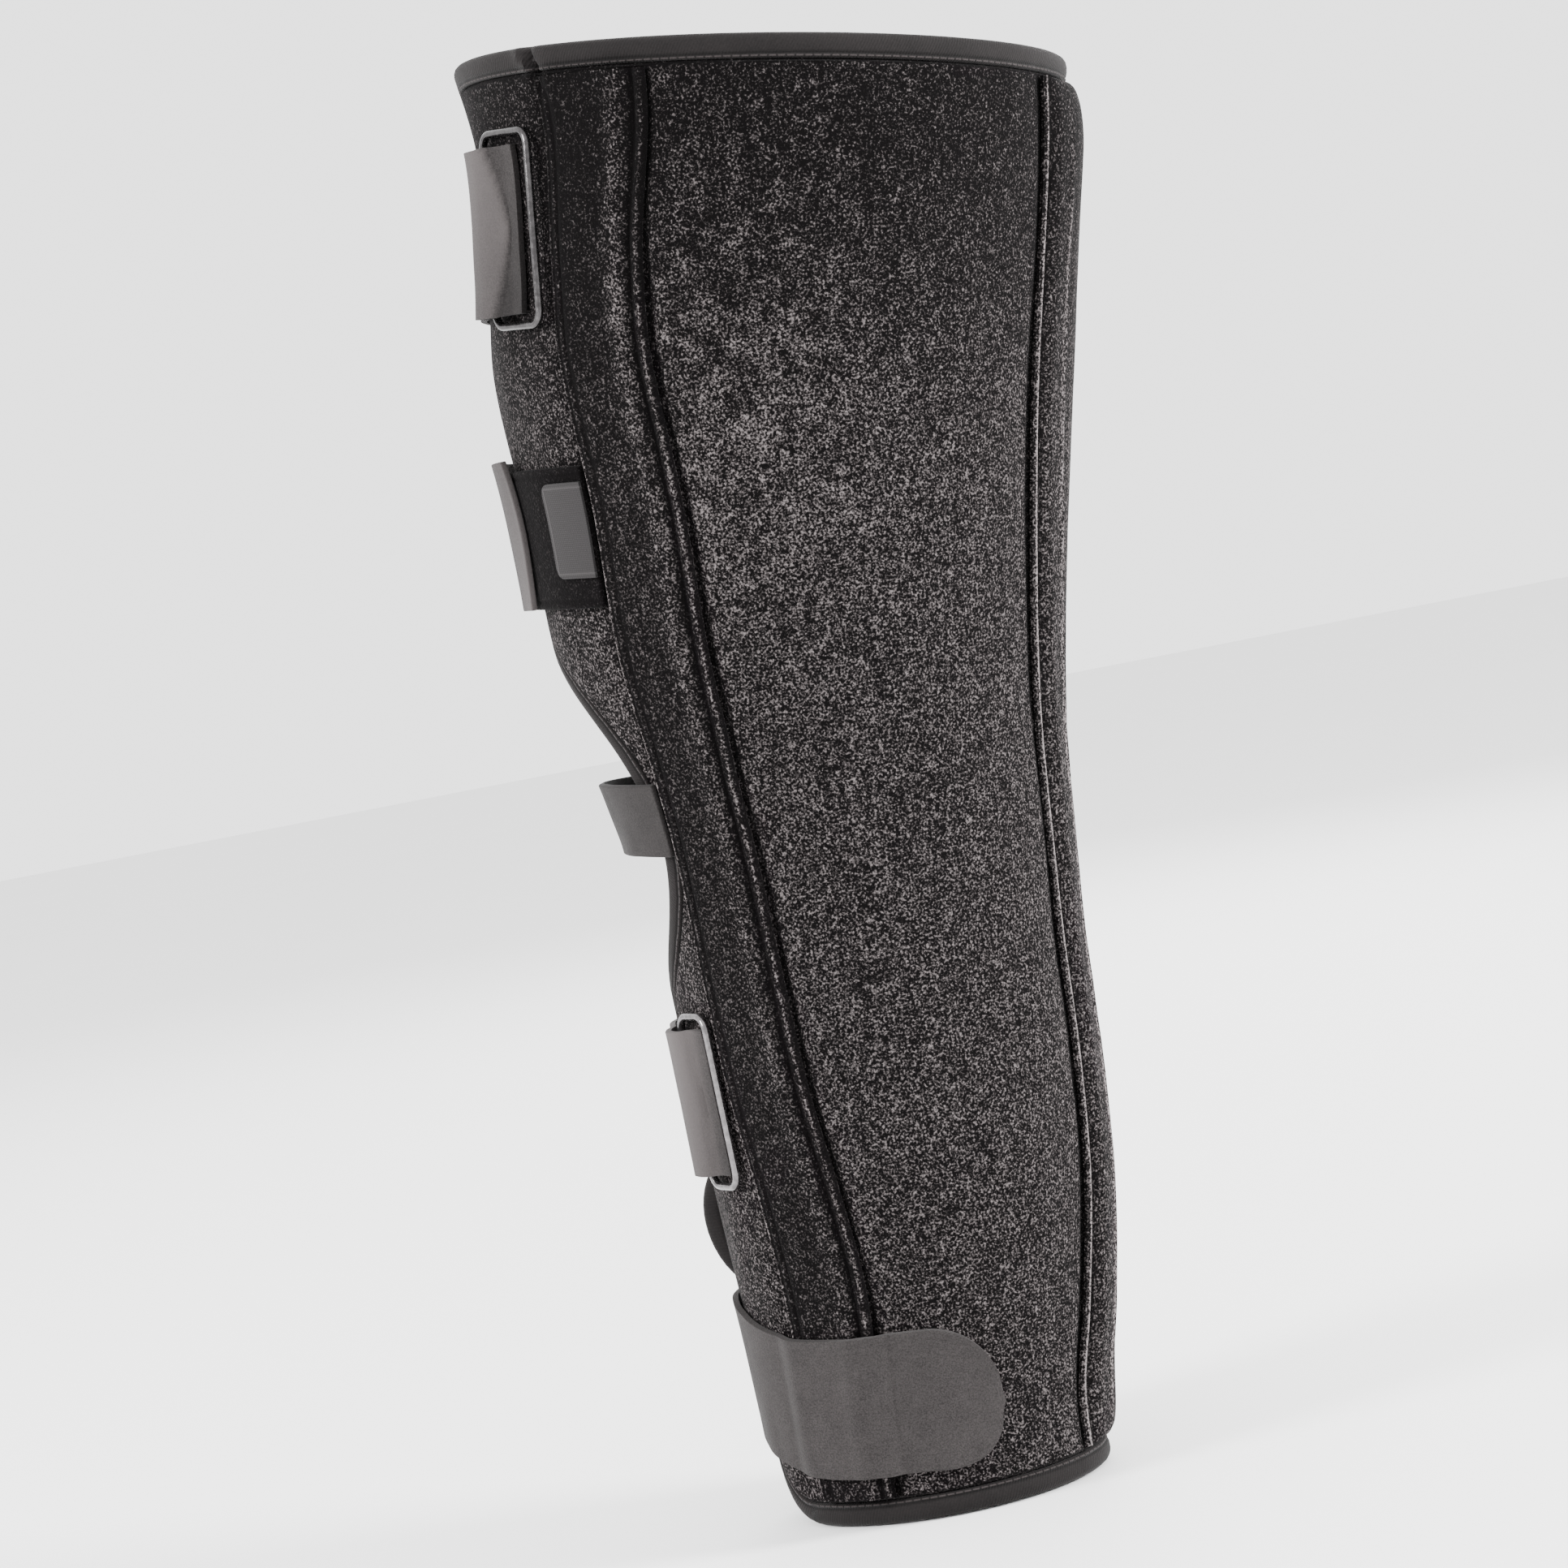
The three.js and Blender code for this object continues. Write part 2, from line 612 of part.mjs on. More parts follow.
function wireRing(name, place) {
  const sides = 8;
  const slices = ringPath(place).map(({ middle, out }) => Array.from({ length: sides }, (_, i) => {
    const around = 2 * Math.PI * (i + 0.5) / sides;
    return middle.clone().addScaledVector(out, RING_BAR / 2 * Math.cos(around))
      .addScaledVector(place.outward, RING_BAR / 2 * Math.sin(around));
  }));
  return sweep(name, slices, null, wire);
}

// A strap that goes over its ring's front bar and ends inside the ring
function ringStrap(name, width, at, place, toBar) {
  const barAngle = place.angle - place.halfTurn;
  const end = place.angle + (place.length / 2 - RING_BAR - toBar) / place.arc;
  const reach = barReach(place);
  const crest = (RING_BAR / 2 + STRAP_THICKNESS) / place.arc;
  const slope = 2.2 * reach / place.arc;
  const lift = (angle) => {
    const off = Math.max(Math.abs(angle - barAngle) - crest, 0);
    return reach * (1 - smooth(off, 0, slope));
  };
  const start = farStart(at);
  const angles = [
    ...steps(start, barAngle - crest - slope, STRAP_STEP),
    ...steps(barAngle - crest - slope / 2, barAngle - crest, slope / 2),
    barAngle, barAngle + crest, barAngle + crest + slope / 2,
  ];
  const rest = barAngle + crest + slope;
  if (end > rest) angles.push(...steps(rest, end, STRAP_STEP));
  else angles.push(end);
  return strap(name, width, angles, levelLine(at), lift);
}

// A strap's share of its width near a round end
function roundEnd(endAngle, width, at) {
  const radius = width / 2;
  const arc = arcPerDegree(endAngle, at * FRONT_HEIGHT);
  return (angle) => {
    const toTip = THREE.MathUtils.clamp((endAngle - angle) * arc / radius, 0, 1);
    return Math.max(Math.sqrt(1 - (1 - toTip) ** 2), 0.12);
  };
}

function ankleStrap() {
  const at = ANKLE_LINE[0].at;
  const middle = (angle) => tableValue(ANKLE_LINE, 'angle', 'at', angle) * rimHeight(angle);
  const tipSteps = 6;
  const radius = ANKLE_STRAP_WIDTH / 2 / arcPerDegree(ANKLE_STRAP_END, at * FRONT_HEIGHT);
  const tip = Array.from({ length: tipSteps }, (_, k) => (
    ANKLE_STRAP_END - radius * (1 - Math.sin(Math.PI / 2 * (k + 1) / tipSteps))));
  const angles = [...steps(farStart(at), ANKLE_STRAP_END - radius, STRAP_STEP), ...tip];
  const taper = roundEnd(ANKLE_STRAP_END, ANKLE_STRAP_WIDTH, at);
  return strap('ankle_strap', ANKLE_STRAP_WIDTH, angles, middle, coverHeight, { taper });
}

function lowerThighStrap() {
  const under = CLEARANCE + LANDING_TAB_THICKNESS;
  const lift = (angle) => {
    const slack = tableValue(LOWER_THIGH_SLACK, 'angle', 'lift', angle);
    const onTab = angle > LANDING_TAB_START - STRAP_STEP ? under : 0;
    return Math.max(slack, onTab);
  };
  const angles = steps(farStart(LOWER_THIGH_STRAP_AT), LOWER_THIGH_END, STRAP_STEP);
  return strap('lower_thigh_strap', LOWER_THIGH_STRAP_WIDTH, angles,
    levelLine(LOWER_THIGH_STRAP_AT), lift);
}

function kneeStrap() {
  const end = nearEnd(KNEE_STRAP_AT);
  const angles = steps(farStart(KNEE_STRAP_AT), end, STRAP_STEP);
  return strap('knee_strap', KNEE_STRAP_WIDTH, angles, levelLine(KNEE_STRAP_AT), () => 0,
    { nearSeam: true });
}

// The plush tab that the lower thigh strap closes on, sewn in at the near stay band's front seam
function landingTab() {
  const end = nearEnd(LANDING_TAB_AT);
  const angles = steps(LANDING_TAB_START, end, STRAP_STEP);
  const rows = 4;
  const spot = (i, j) => {
    const up = levelLine(LANDING_TAB_AT)(angles[j]) + (i / (rows - 1) - 0.5) * LANDING_TAB_HEIGHT;
    const angle = alongSeam(angles[j], up, LANDING_TAB_AT, true);
    return { angle, up, low: CLEARANCE + EASE, high: CLEARANCE + EASE + LANDING_TAB_THICKNESS };
  };
  return layer('landing_tab', rows, angles.length, spot, plush);
}

// The bare grey tab sewn over the landing tab, round at its two free corners
function labelTab() {
  const end = nearEnd(LABEL_AT);
  const arc = arcPerDegree(end, LABEL_AT * FRONT_HEIGHT);
  const start = end - LABEL_LENGTH / arc;
  const cornerSteps = 3;
  const corner = Array.from({ length: cornerSteps }, (_, k) => (
    start + LABEL_CORNER / arc * (1 - Math.cos(Math.PI / 2 * k / cornerSteps))));
  const angles = [...corner, ...steps(start + LABEL_CORNER / arc, end, STRAP_STEP)];
  const low = 2 * CLEARANCE + EASE + LANDING_TAB_THICKNESS;
  const rows = 3;
  const spot = (i, j) => {
    const cut = cornerCut((angles[j] - start) * arc, LABEL_CORNER);
    const up = levelLine(LABEL_AT)(angles[j]) + (i - 1) * (LABEL_HEIGHT / 2 - cut);
    return { angle: alongSeam(angles[j], up, LABEL_AT, true), up, low, high: low + LABEL_THICKNESS };
  };
  return layer('label_tab', rows, angles.length, spot, labelCloth);
}

// Border stations where the four lengths of tape meet, on the straight edges near the corners
function bindings() {
  const rows = ROWS.length;
  const aboveCorner = 6;
  const belowTop = 3;
  const farLow = COLUMNS - 1 + aboveCorner;
  const farHigh = COLUMNS - 1 + rows - 1 - belowTop;
  const nearHigh = 2 * (COLUMNS - 1) + rows - 1 + belowTop;
  const nearLow = STATIONS.length - aboveCorner;
  return [
    binding('bottom_binding', nearLow - STATIONS.length, farLow),
    binding('far_front_binding', farLow, farHigh),
    binding('top_binding', farHigh, nearHigh),
    binding('near_front_binding', nearHigh, nearLow),
  ];
}

const thighPlace = ringPlace(THIGH_STRAP_AT, THIGH_STRAP_WIDTH, THIGH_RING_LENGTH, THIGH_RING_TO_SEAM);
const calfPlace = ringPlace(CALF_STRAP_AT, CALF_STRAP_WIDTH, CALF_RING_LENGTH, CALF_RING_TO_SEAM);

const immobilizer = new THREE.Group();
immobilizer.add(
  wrapPanel(),
  ...bindings(),
  stayBand('near_stay_band', false),
  stayBand('far_stay_band', true),
  posteriorBand(),
  wireRing('thigh_ring', thighPlace),
  ringStrap('thigh_strap', THIGH_STRAP_WIDTH, THIGH_STRAP_AT, thighPlace, THIGH_STRAP_TO_BAR),
  landingTab(),
  lowerThighStrap(),
  labelTab(),
  kneeStrap(),
  wireRing('calf_ring', calfPlace),
  ringStrap('calf_strap', CALF_STRAP_WIDTH, CALF_STRAP_AT, calfPlace, CALF_STRAP_TO_BAR),
  ankleStrap(),
);

// The origin is under the middle of the whole part, at the level of its lower rim
const bounds = new THREE.Box3().setFromObject(immobilizer, true);
const middle = bounds.getCenter(new THREE.Vector3());
immobilizer.position.set(-middle.x, -middle.y, -bounds.min.z);

export default immobilizer;
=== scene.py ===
import math

import bpy
import numpy as np
from bpy.props import FloatProperty, FloatVectorProperty, PointerProperty
from bpy.types import Operator, Panel, PropertyGroup
from mathutils import Matrix, Vector


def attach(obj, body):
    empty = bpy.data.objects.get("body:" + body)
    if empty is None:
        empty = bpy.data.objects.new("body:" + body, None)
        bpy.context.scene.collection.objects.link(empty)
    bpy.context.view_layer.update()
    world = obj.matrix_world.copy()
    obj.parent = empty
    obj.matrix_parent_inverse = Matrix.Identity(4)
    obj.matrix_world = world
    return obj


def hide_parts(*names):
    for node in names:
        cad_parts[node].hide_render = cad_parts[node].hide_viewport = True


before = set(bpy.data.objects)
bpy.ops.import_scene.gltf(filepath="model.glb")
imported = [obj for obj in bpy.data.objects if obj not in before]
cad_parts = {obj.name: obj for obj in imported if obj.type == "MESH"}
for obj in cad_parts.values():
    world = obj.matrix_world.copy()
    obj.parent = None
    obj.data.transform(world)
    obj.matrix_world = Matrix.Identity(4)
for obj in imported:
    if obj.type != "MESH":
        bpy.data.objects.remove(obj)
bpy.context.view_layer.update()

# The visual model of a long foam leg wrap with bound edges, stay pockets and five straps.
# Lengths are in millimetres until a mesh is made. The shape repeats the part's own named values.
bl_info = {
    "name": "Knee immobilizer",
    "version": (1, 0, 0),
    "blender": (4, 5, 0),
    "location": "3D View > Sidebar > Immobilizer",
    "description": "Dresses the packed part in brushed plush, binding tape, strap cloth and wire",
    "category": "Object",
}

# Millimetres in a metre, and millimetres of the surface map to a degree round the wrap
PER_METRE = 1000
MAP_PER_DEGREE = 1.4

# Where the part's origin is, and the wrap's main sizes
ORIGIN = (-17.772, -1.002)
FRONT_HEIGHT = 526.0
BACK_HEIGHT = 489.0
THIGH_DEPTH = 212.0
THIGH_WIDTH = 189.0

# The wall, the tape round its edge with the heights of its joins, and gaps between the layers
WALL = 8.0
PINCHED_WALL = 3.8
TAPE = 1.5
EDGE_INSET = 10.4
TAPE_START = 1.9
TAPE_JOINS = (83.2, 465.5)
CLEARANCE = 0.3
EASE = 0.4

# The front opening, in degrees from the front midline, its corners, cut-outs and bowed edge
NEAR_EDGE = -5.0
FAR_EDGE = -14.0
BOTTOM_CORNER = 33.0
TOP_CORNER = 14.0
CUTOUT_CENTRE = 0.4875
CUTOUT_HEIGHT = 116.0
CUTOUT_DEPTH = 40.0
CUTOUT_SOFTNESS = 0.1
CUTOUT_FULLNESS = 0.85
BOW = 11.0
BOW_CENTRE = 0.2005
BOW_HEIGHT = 44.0
BOW_REACH = 24.0
FRONT_REFERENCE = 15.0

# The stay bands' thickness and ridge, and the posterior band's crown, edge and round end
BAND_THICKNESS = 2.2
STAY_RIDGE = 3.4
POSTERIOR_THICKNESS = 6.2
POSTERIOR_EDGE = 1.2
POSTERIOR_END = 24.0

# The fold in the upper rim: its angle, millimetres to a degree there, and its slant
CREASE_ANGLE = 42.6
CREASE_ARC = 1.6
CREASE_SLANT = 0.25

# Straps: share of the height, width, and the near end's angle, or None at the stay band's seam
THIGH_STRAP = (0.8855, 57, 33.015)
LOWER_THIGH_STRAP = (0.6875, 53, 14.0)
KNEE_STRAP = (0.4895, 26, None)
CALF_STRAP = (0.296, 52, 32.29)
ANKLE_STRAP = (0.107, 50, 112.5)
ANKLE_TIP_RADIUS = 25.0
STEP_ALONG = 1.0
STEP_ACROSS = 1.6

# Over a ring's front bar: its angle, how high the strap lies there, and millimetres to a degree
THIGH_BAR = (21.0, 5.08, 1.648)
CALF_BAR = (17.83, 3.43, 1.12)

# The ring straps' folded-back ends: the angle they reach and how far they swell, in degrees
THIGH_FOLD = (25.0, 4.4)
CALF_FOLD = (23.5, 1.5)

# The rings: share of the height, angle of the middle, height, length, and lift off the foam
THIGH_RING = (0.8855, 29.86, 68.6, 32.0, 2.39)
CALF_RING = (0.296, 25.953, 63.6, 21.0, 1.33)
WIRE = 2.8
RING_CORNER = 5.0

# The landing pad and the label: share of the height, then sizes in millimetres
LANDING_AT = 0.683
LANDING_START = 5.0
LANDING_HEIGHT = 49
LANDING_THICKNESS = 2.5
LABEL_AT = 0.688
LABEL_LENGTH = 20.0
LABEL_HEIGHT = 33.0
LABEL_CORNER = 4.0
LABEL_THICKNESS = 1.2
HEM = 2.5

# Painted shade on a pad's inside and on its turned edge
INSIDE_SHADE = -0.2
EDGE_SHADE = -0.45

# Faces that meet at less than this are shaded as one, in degrees
PAD_SMOOTH = 50
STRIP_SMOOTH = 60

# The camera and the lamps: metres, degrees and watts
FOCAL_LENGTH = 97.21
CAMERA_PLACE = (-0.033872, -1.499, 0.3362)
CAMERA_TARGET = (-0.033872, -0.001002, 0.2577)
CAMERA_ROLL = 11
LAMP_TARGET = (0.0, 0.0, 0.27)
LAMPS = (
    ("key", (-2.0, -1.0, 1.3), 0.8, 130),
    ("side", (2.1, -0.6, 1.1), 0.8, 175),
    ("back", (0.4, 2.0, 1.4), 1.2, 50),
)
SKY_STRENGTH = 2.6


class Table:
    """Smooth values between a table's rows: cubic, each row's slope taken from its neighbours."""

    def __init__(self, *rows):
        table = np.array(rows, float)
        places = np.arange(len(table))
        self.keys = table[:, 0]
        self.values = table[:, 1:]
        low = np.maximum(places - 1, 0)
        high = np.minimum(places + 1, len(table) - 1)
        rise = self.values[high] - self.values[low]
        self.slopes = rise / (self.keys[high] - self.keys[low])[:, None]

    def __call__(self, x, column=0):
        x = np.clip(x, self.keys[0], self.keys[-1])
        k = np.searchsorted(self.keys[1:-1], x)
        span = self.keys[k + 1] - self.keys[k]
        t = (x - self.keys[k]) / span
        start, end = self.values[k, column], self.values[k + 1, column]
        leave, arrive = self.slopes[k, column] * span, self.slopes[k + 1, column] * span
        ends = (2 * t**3 - 3 * t**2 + 1) * start + (3 * t**2 - 2 * t**3) * end
        return ends + (t**3 - 2 * t**2 + t) * leave + (t**3 - t**2) * arrive


# Level sections: share of the height, then front and back as shares of the depth, and the width
SECTIONS = Table(
    (0.00, -0.292, 0.250, 0.519), (0.06, -0.303, 0.252, 0.534), (0.12, -0.307, 0.281, 0.571),
    (0.21, -0.318, 0.316, 0.635), (0.30, -0.325, 0.333, 0.661), (0.38, -0.328, 0.340, 0.656),
    (0.46, -0.344, 0.356, 0.661), (0.53, -0.373, 0.375, 0.688), (0.60, -0.407, 0.406, 0.730),
    (0.70, -0.412, 0.455, 0.815), (0.79, -0.421, 0.502, 0.878), (0.86, -0.398, 0.540, 0.931),
    (0.94, -0.377, 0.585, 0.974), (1.00, -0.389, 0.611, 1.000),
)

# Seams: share of the height, then the stay band's two seams and the posterior one, in degrees
SEAMS = Table(
    (0.00, 40.0, 70.0, 146.0), (0.15, 42.5, 72.0, 152.5), (0.22, 41.0, 69.5, 155.0),
    (0.30, 37.5, 66.0, 157.0), (0.38, 36.5, 65.0, 158.5), (0.50, 40.5, 66.0, 157.5),
    (0.60, 43.5, 68.0, 154.5), (0.75, 44.0, 66.5, 152.5), (0.88, 42.0, 64.0, 153.0),
    (1.00, 43.5, 68.0, 152.0),
)
LEFT, RIGHT, POSTERIOR = range(3)

# How much of the stay's own height shows across its band
STAY = Table((0.0, 0.0), (0.35, 0.0), (0.60, 0.15), (0.74, 1.0), (0.88, 0.1), (1.0, 0.0))

# Shares of the height along the ankle strap's middle, and how slack the lower thigh strap is
ANKLE_LINE = Table(
    (-45, 0.107), (0, 0.1065), (24, 0.094), (40, 0.0875), (57, 0.085), (90, 0.083), (112, 0.074),
)
LOWER_THIGH_SLACK = Table((-45, 0), (-28, 0.6), (-10, 3.4), (0, 4.3), (8, 3.9), (14, 3.2))


def ramp(x, low, high):
    """0 below low and 1 above high, with a smooth rise between them."""
    t = np.clip((x - low) / (high - low), 0, 1)
    return t * t * (3 - 2 * t)


def bump(x, centre, half):
    """1 at the centre of a line, falling smoothly to 0 at its half width."""
    return 1 - ramp(np.abs(x - centre), 0, half)


def rim_height(angle):
    return FRONT_HEIGHT + (BACK_HEIGHT - FRONT_HEIGHT) * (1 - np.cos(np.radians(angle))) / 2


def bow(angle, share):
    """How far the far edge of the opening bows out, in millimetres."""
    from_midline = np.mod(angle, 360) - 360
    fade = ramp(from_midline, FAR_EDGE - BOW_REACH, FAR_EDGE - BOW_REACH / 4)
    u = (share - BOW_CENTRE) * FRONT_HEIGHT / (BOW_HEIGHT / 2)
    swell = np.maximum(1 - u * u, 0) ** 0.7
    return np.where(from_midline > FAR_EDGE / 2, 0, BOW * fade * swell)


def rim_crease(angle, up):
    """The fold where the near front seam meets the upper rim, in millimetres inwards."""
    to_rim = rim_height(angle) - up
    place = (angle - CREASE_ANGLE) * CREASE_ARC - CREASE_SLANT * to_rim
    fold = 3.0 * bump(place, 0, 2.2) - 1.8 * bump(place, -3.4, 4.5) - 0.8 * bump(place, 4.5, 5.0)
    return fold * (1 - ramp(to_rim, 6, 22))


def on_wrap(angle, up, out=0.0):
    """Points in millimetres: degrees from the midline, height, and distance outside the foam."""
    angle, up, out = np.broadcast_arrays(*(np.asarray(v, float) for v in (angle, up, out)))
    share = up / rim_height(angle)
    front = SECTIONS(share, 0) * THIGH_DEPTH
    back = SECTIONS(share, 1) * THIGH_DEPTH
    half = SECTIONS(share, 2) * THIGH_WIDTH / 2
    deep = (back - front) / 2
    c, s = np.cos(np.radians(angle)), np.sin(np.radians(angle))
    reach = (out + bow(angle, share) - rim_crease(angle, up)) / np.hypot(c / deep, s / half)
    x = (front + back) / 2 - deep * c - c / deep * reach + ORIGIN[0]
    y = -half * s - s / half * reach + ORIGIN[1]
    return np.stack([x, y, up], axis=-1)


def arc_per_degree(angle, up):
    return np.linalg.norm(on_wrap(angle + 1, up) - on_wrap(angle - 1, up), axis=-1) / 2


def seam(side, share, far=False):
    angle = SEAMS(share, side)
    return 360 + NEAR_EDGE + FAR_EDGE - angle if far else angle


def corner_cut(distance, radius):
    """How far a rounded corner sets a side back, at a distance from the corner's own edge."""
    left = np.clip(radius - distance, 0, radius)
    return radius - np.sqrt(radius * radius - left * left)


def edge_angles(share):
    """The near and far limits of the panel's grid at a share of the height."""
    up = EDGE_INSET + share * (FRONT_HEIGHT - 2 * EDGE_INSET)
    from_middle = np.abs(up - CUTOUT_CENTRE * FRONT_HEIGHT) / (CUTOUT_HEIGHT / 2 + EDGE_INSET)
    rest = 1 - from_middle**2
    softened = (rest + np.hypot(rest, CUTOUT_SOFTNESS)) / 2
    cutout = CUTOUT_DEPTH * softened**CUTOUT_FULLNESS
    setback = EDGE_INSET + cutout + corner_cut(up - EDGE_INSET, BOTTOM_CORNER - EDGE_INSET)
    setback += corner_cut(FRONT_HEIGHT - EDGE_INSET - up, TOP_CORNER - EDGE_INSET)
    turn = setback / arc_per_degree(FRONT_REFERENCE, up)
    return NEAR_EDGE + turn, 360 + FAR_EDGE - turn


def row_height(angle, share):
    return EDGE_INSET + share * (rim_height(angle) - 2 * EDGE_INSET)


def panel_rows():
    """Shares for the panel's rows, closer together at the corners."""
    tall = FRONT_HEIGHT - 2 * EDGE_INSET
    low = (BOTTOM_CORNER - EDGE_INSET) * (1 - np.cos(np.linspace(0, np.pi / 2, 13)))
    high = tall - (TOP_CORNER - EDGE_INSET) * (1 - np.cos(np.linspace(np.pi / 2, 0, 5)))
    between = np.linspace(low[-1], high[0], 151)[1:-1]
    return np.concatenate([low, between, high]) / tall


def spread(start, end, count):
    """Places from a span's start on, its end left out, closer together at its two ends."""
    t = np.linspace(0, 1, count + 1)[:-1]
    eased = (1 - np.cos(np.pi * t)) / 2
    return start[:, None] + (end - start)[:, None] * (0.6 * eased + 0.4 * t)[None, :]


def ripple(angle, up, size=1.0):
    """Soft unevenness of the foam, a sum of slow waves that meets itself round the wrap."""
    a = np.radians(angle)
    total = 0.42 * np.sin(3 * a + up / 43 + 0.8) + 0.34 * np.sin(7 * a - up / 31 + 2.1)
    total += 0.22 * np.sin(11 * a + up / 23 + 4.0) + 0.16 * np.sin(19 * a - up / 17 + 1.3)
    return size * (total + 0.12 * np.sin(31 * a + up / 9.5))


def add_painted_light(mesh, painted_light):
    """Stores painted light and shade: above 0 a painted highlight, below 0 painted shade, as in a
    groove.
    """
    layer = mesh.attributes.new("painted_light", "FLOAT", "POINT")
    layer.data.foreach_set("value", np.asarray(painted_light, np.float32).ravel())


def add_object(name, data):
    piece = bpy.data.objects.new(name, data)
    bpy.context.scene.collection.objects.link(piece)
    return piece


def add_mesh(name, points, faces, uv, finish, painted_light=None):
    """A closed mesh piece from points in millimetres, its faces turned outwards."""
    points = np.asarray(points, float)
    faces = np.asarray(faces)
    a, b, c, d = (points[faces[:, k]] for k in range(4))
    volume = np.einsum("ij,ij->i", a, np.cross(b, c)) + np.einsum("ij,ij->i", a, np.cross(c, d))
    if volume.sum() < 0:
        faces = faces[:, ::-1]
    mesh = bpy.data.meshes.new(name)
    mesh.from_pydata((points / PER_METRE).tolist(), [], faces.tolist())
    loops = np.empty(len(mesh.loops), np.int32)
    mesh.loops.foreach_get("vertex_index", loops)
    layer = mesh.uv_layers.new(name="surface")
    layer.data.foreach_set("uv", (np.asarray(uv)[loops] / PER_METRE).astype(np.float32).ravel())
    if painted_light is not None:
        add_painted_light(mesh, painted_light)
    mesh.materials.append(finish)
    piece = add_object(name, mesh)
    pick(piece)
    bpy.ops.object.shade_smooth_by_angle(angle=math.radians(PAD_SMOOTH))
    return piece


def pick(piece):
    bpy.ops.object.select_all(action="DESELECT")
    piece.select_set(True)
    bpy.context.view_layer.objects.active = piece


def settle(piece, slot, *nodes, fill=None):
    """Hides the part's pieces that a finished piece replaces, and hangs it under the root body."""
    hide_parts(*nodes)
    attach(piece, "root")


def grid_border(rows, columns):
    """The border of a grid as row and column numbers, counter-clockwise seen from outside."""
    bottom = [(0, j) for j in range(columns)]
    far = [(i, columns - 1) for i in range(1, rows)]
    top = [(rows - 1, j) for j in range(columns - 2, -1, -1)]
    near = [(i, 0) for i in range(rows - 2, 0, -1)]
    return np.array(bottom + far + top + near)


def quads(*corners):
    """Faces from four arrays of their corners' numbers."""
    return np.stack([corner.ravel() for corner in corners], axis=-1)


def quads_between(first, second):
    return quads(first, np.roll(first, -1), np.roll(second, -1), second)


def padded_shell(name, outer, inner, uv, painted_light, finish, rings=()):
    """A pad from its outer and inner grids, joined by rings of points round the border."""
    rows, columns = outer.shape[:2]
    count = rows * columns
    grid = np.arange(count).reshape(rows, columns)
    face = quads(grid[:-1, :-1], grid[:-1, 1:], grid[1:, 1:], grid[1:, :-1])
    faces = [face, face[:, ::-1] + count]
    border = grid_border(rows, columns)
    edge = grid[border[:, 0], border[:, 1]]
    points = [outer.reshape(-1, 3), inner.reshape(-1, 3)]
    places = [uv.reshape(-1, 2), uv.reshape(-1, 2)]
    painted_lights = [painted_light.ravel(), np.full(count, INSIDE_SHADE)]
    total = 2 * count
    loops = [edge, edge + count]
    for ring_out, ring_in, ring_uv in rings:
        for side, ring in enumerate((ring_out, ring_in)):
            points.append(ring)
            places.append(ring_uv)
            painted_lights.append(np.full(len(ring), EDGE_SHADE))
            fresh = np.arange(len(ring)) + total
            total += len(ring)
            pair = (fresh, loops[side]) if side == 0 else (loops[side], fresh)
            faces.append(quads_between(*pair))
            loops[side] = fresh
    faces.append(quads_between(loops[1], loops[0]))
    return add_mesh(name, np.concatenate(points), np.concatenate(faces),
                    np.concatenate(places), finish, np.concatenate(painted_lights))


def swept_tube(name, slices, uv, finish):
    """A closed bar of one section along a row of slices, with a flat cap at either end."""
    count, size = slices.shape[:2]
    grid = np.arange(count * size).reshape(count, size)
    after = np.roll(grid, -1, axis=1)
    faces = [quads(grid[:-1], grid[1:], after[1:], after[:-1])]
    # The section is a folded strip, so a cap's faces join its two halves across it
    half = size // 2
    for ring, turned in ((grid[0], False), (grid[-1], True)):
        k = np.arange(half - 1)
        cap = quads(ring[k], ring[k + 1], ring[size - 2 - k], ring[size - 1 - k])
        faces.append(cap[:, ::-1] if turned else cap)
    return add_mesh(name, slices.reshape(-1, 3), np.concatenate(faces), uv.reshape(-1, 2), finish)


class Shade:
    """A socket of a material's nodes. Arithmetic on it adds Math nodes."""

    def __init__(self, finish, socket):
        self.finish = finish
        self.socket = socket

    def math(self, operation, *values):
        return self.finish.node("ShaderNodeMath", {"operation": operation}, dict(enumerate(values)))

    def __add__(self, other):
        return self.math("ADD", self, other)

    __radd__ = __add__

    def __sub__(self, other):
        return self.math("SUBTRACT", self, other)

    def __rsub__(self, other):
        return self.math("SUBTRACT", other, self)

    def __mul__(self, other):
        return self.math("MULTIPLY", self, other)

    __rmul__ = __mul__

    def __truediv__(self, other):
        return self.math("DIVIDE", self, other)

    def __pow__(self, other):
        return self.math("POWER", self, other)

    def __abs__(self):
        return self.math("ABSOLUTE", self)

    def larger(self, other):
        return self.math("MAXIMUM", self, other)

    def wrapped(self, period):
        """How far it is from the middle of its period, from 0 to half the period."""
        return abs(self.math("FLOORED_MODULO", self, period) - period / 2)

    def fade(self, low, high):
        """0 below low and 1 above high, or the other way round if low is the greater."""
        swap = low > high
        bounds = {"From Min": min(low, high), "From Max": max(low, high)}
        settings = {"interpolation_type": "SMOOTHSTEP"}
        result = self.finish.node("ShaderNodeMapRange", settings, {"Value": self, **bounds})
        return 1 - result if swap else result

    def line(self, centre, half):
        """1 on a line, falling smoothly to 0 at its half width."""
        return abs(self - centre).fade(half, 0)


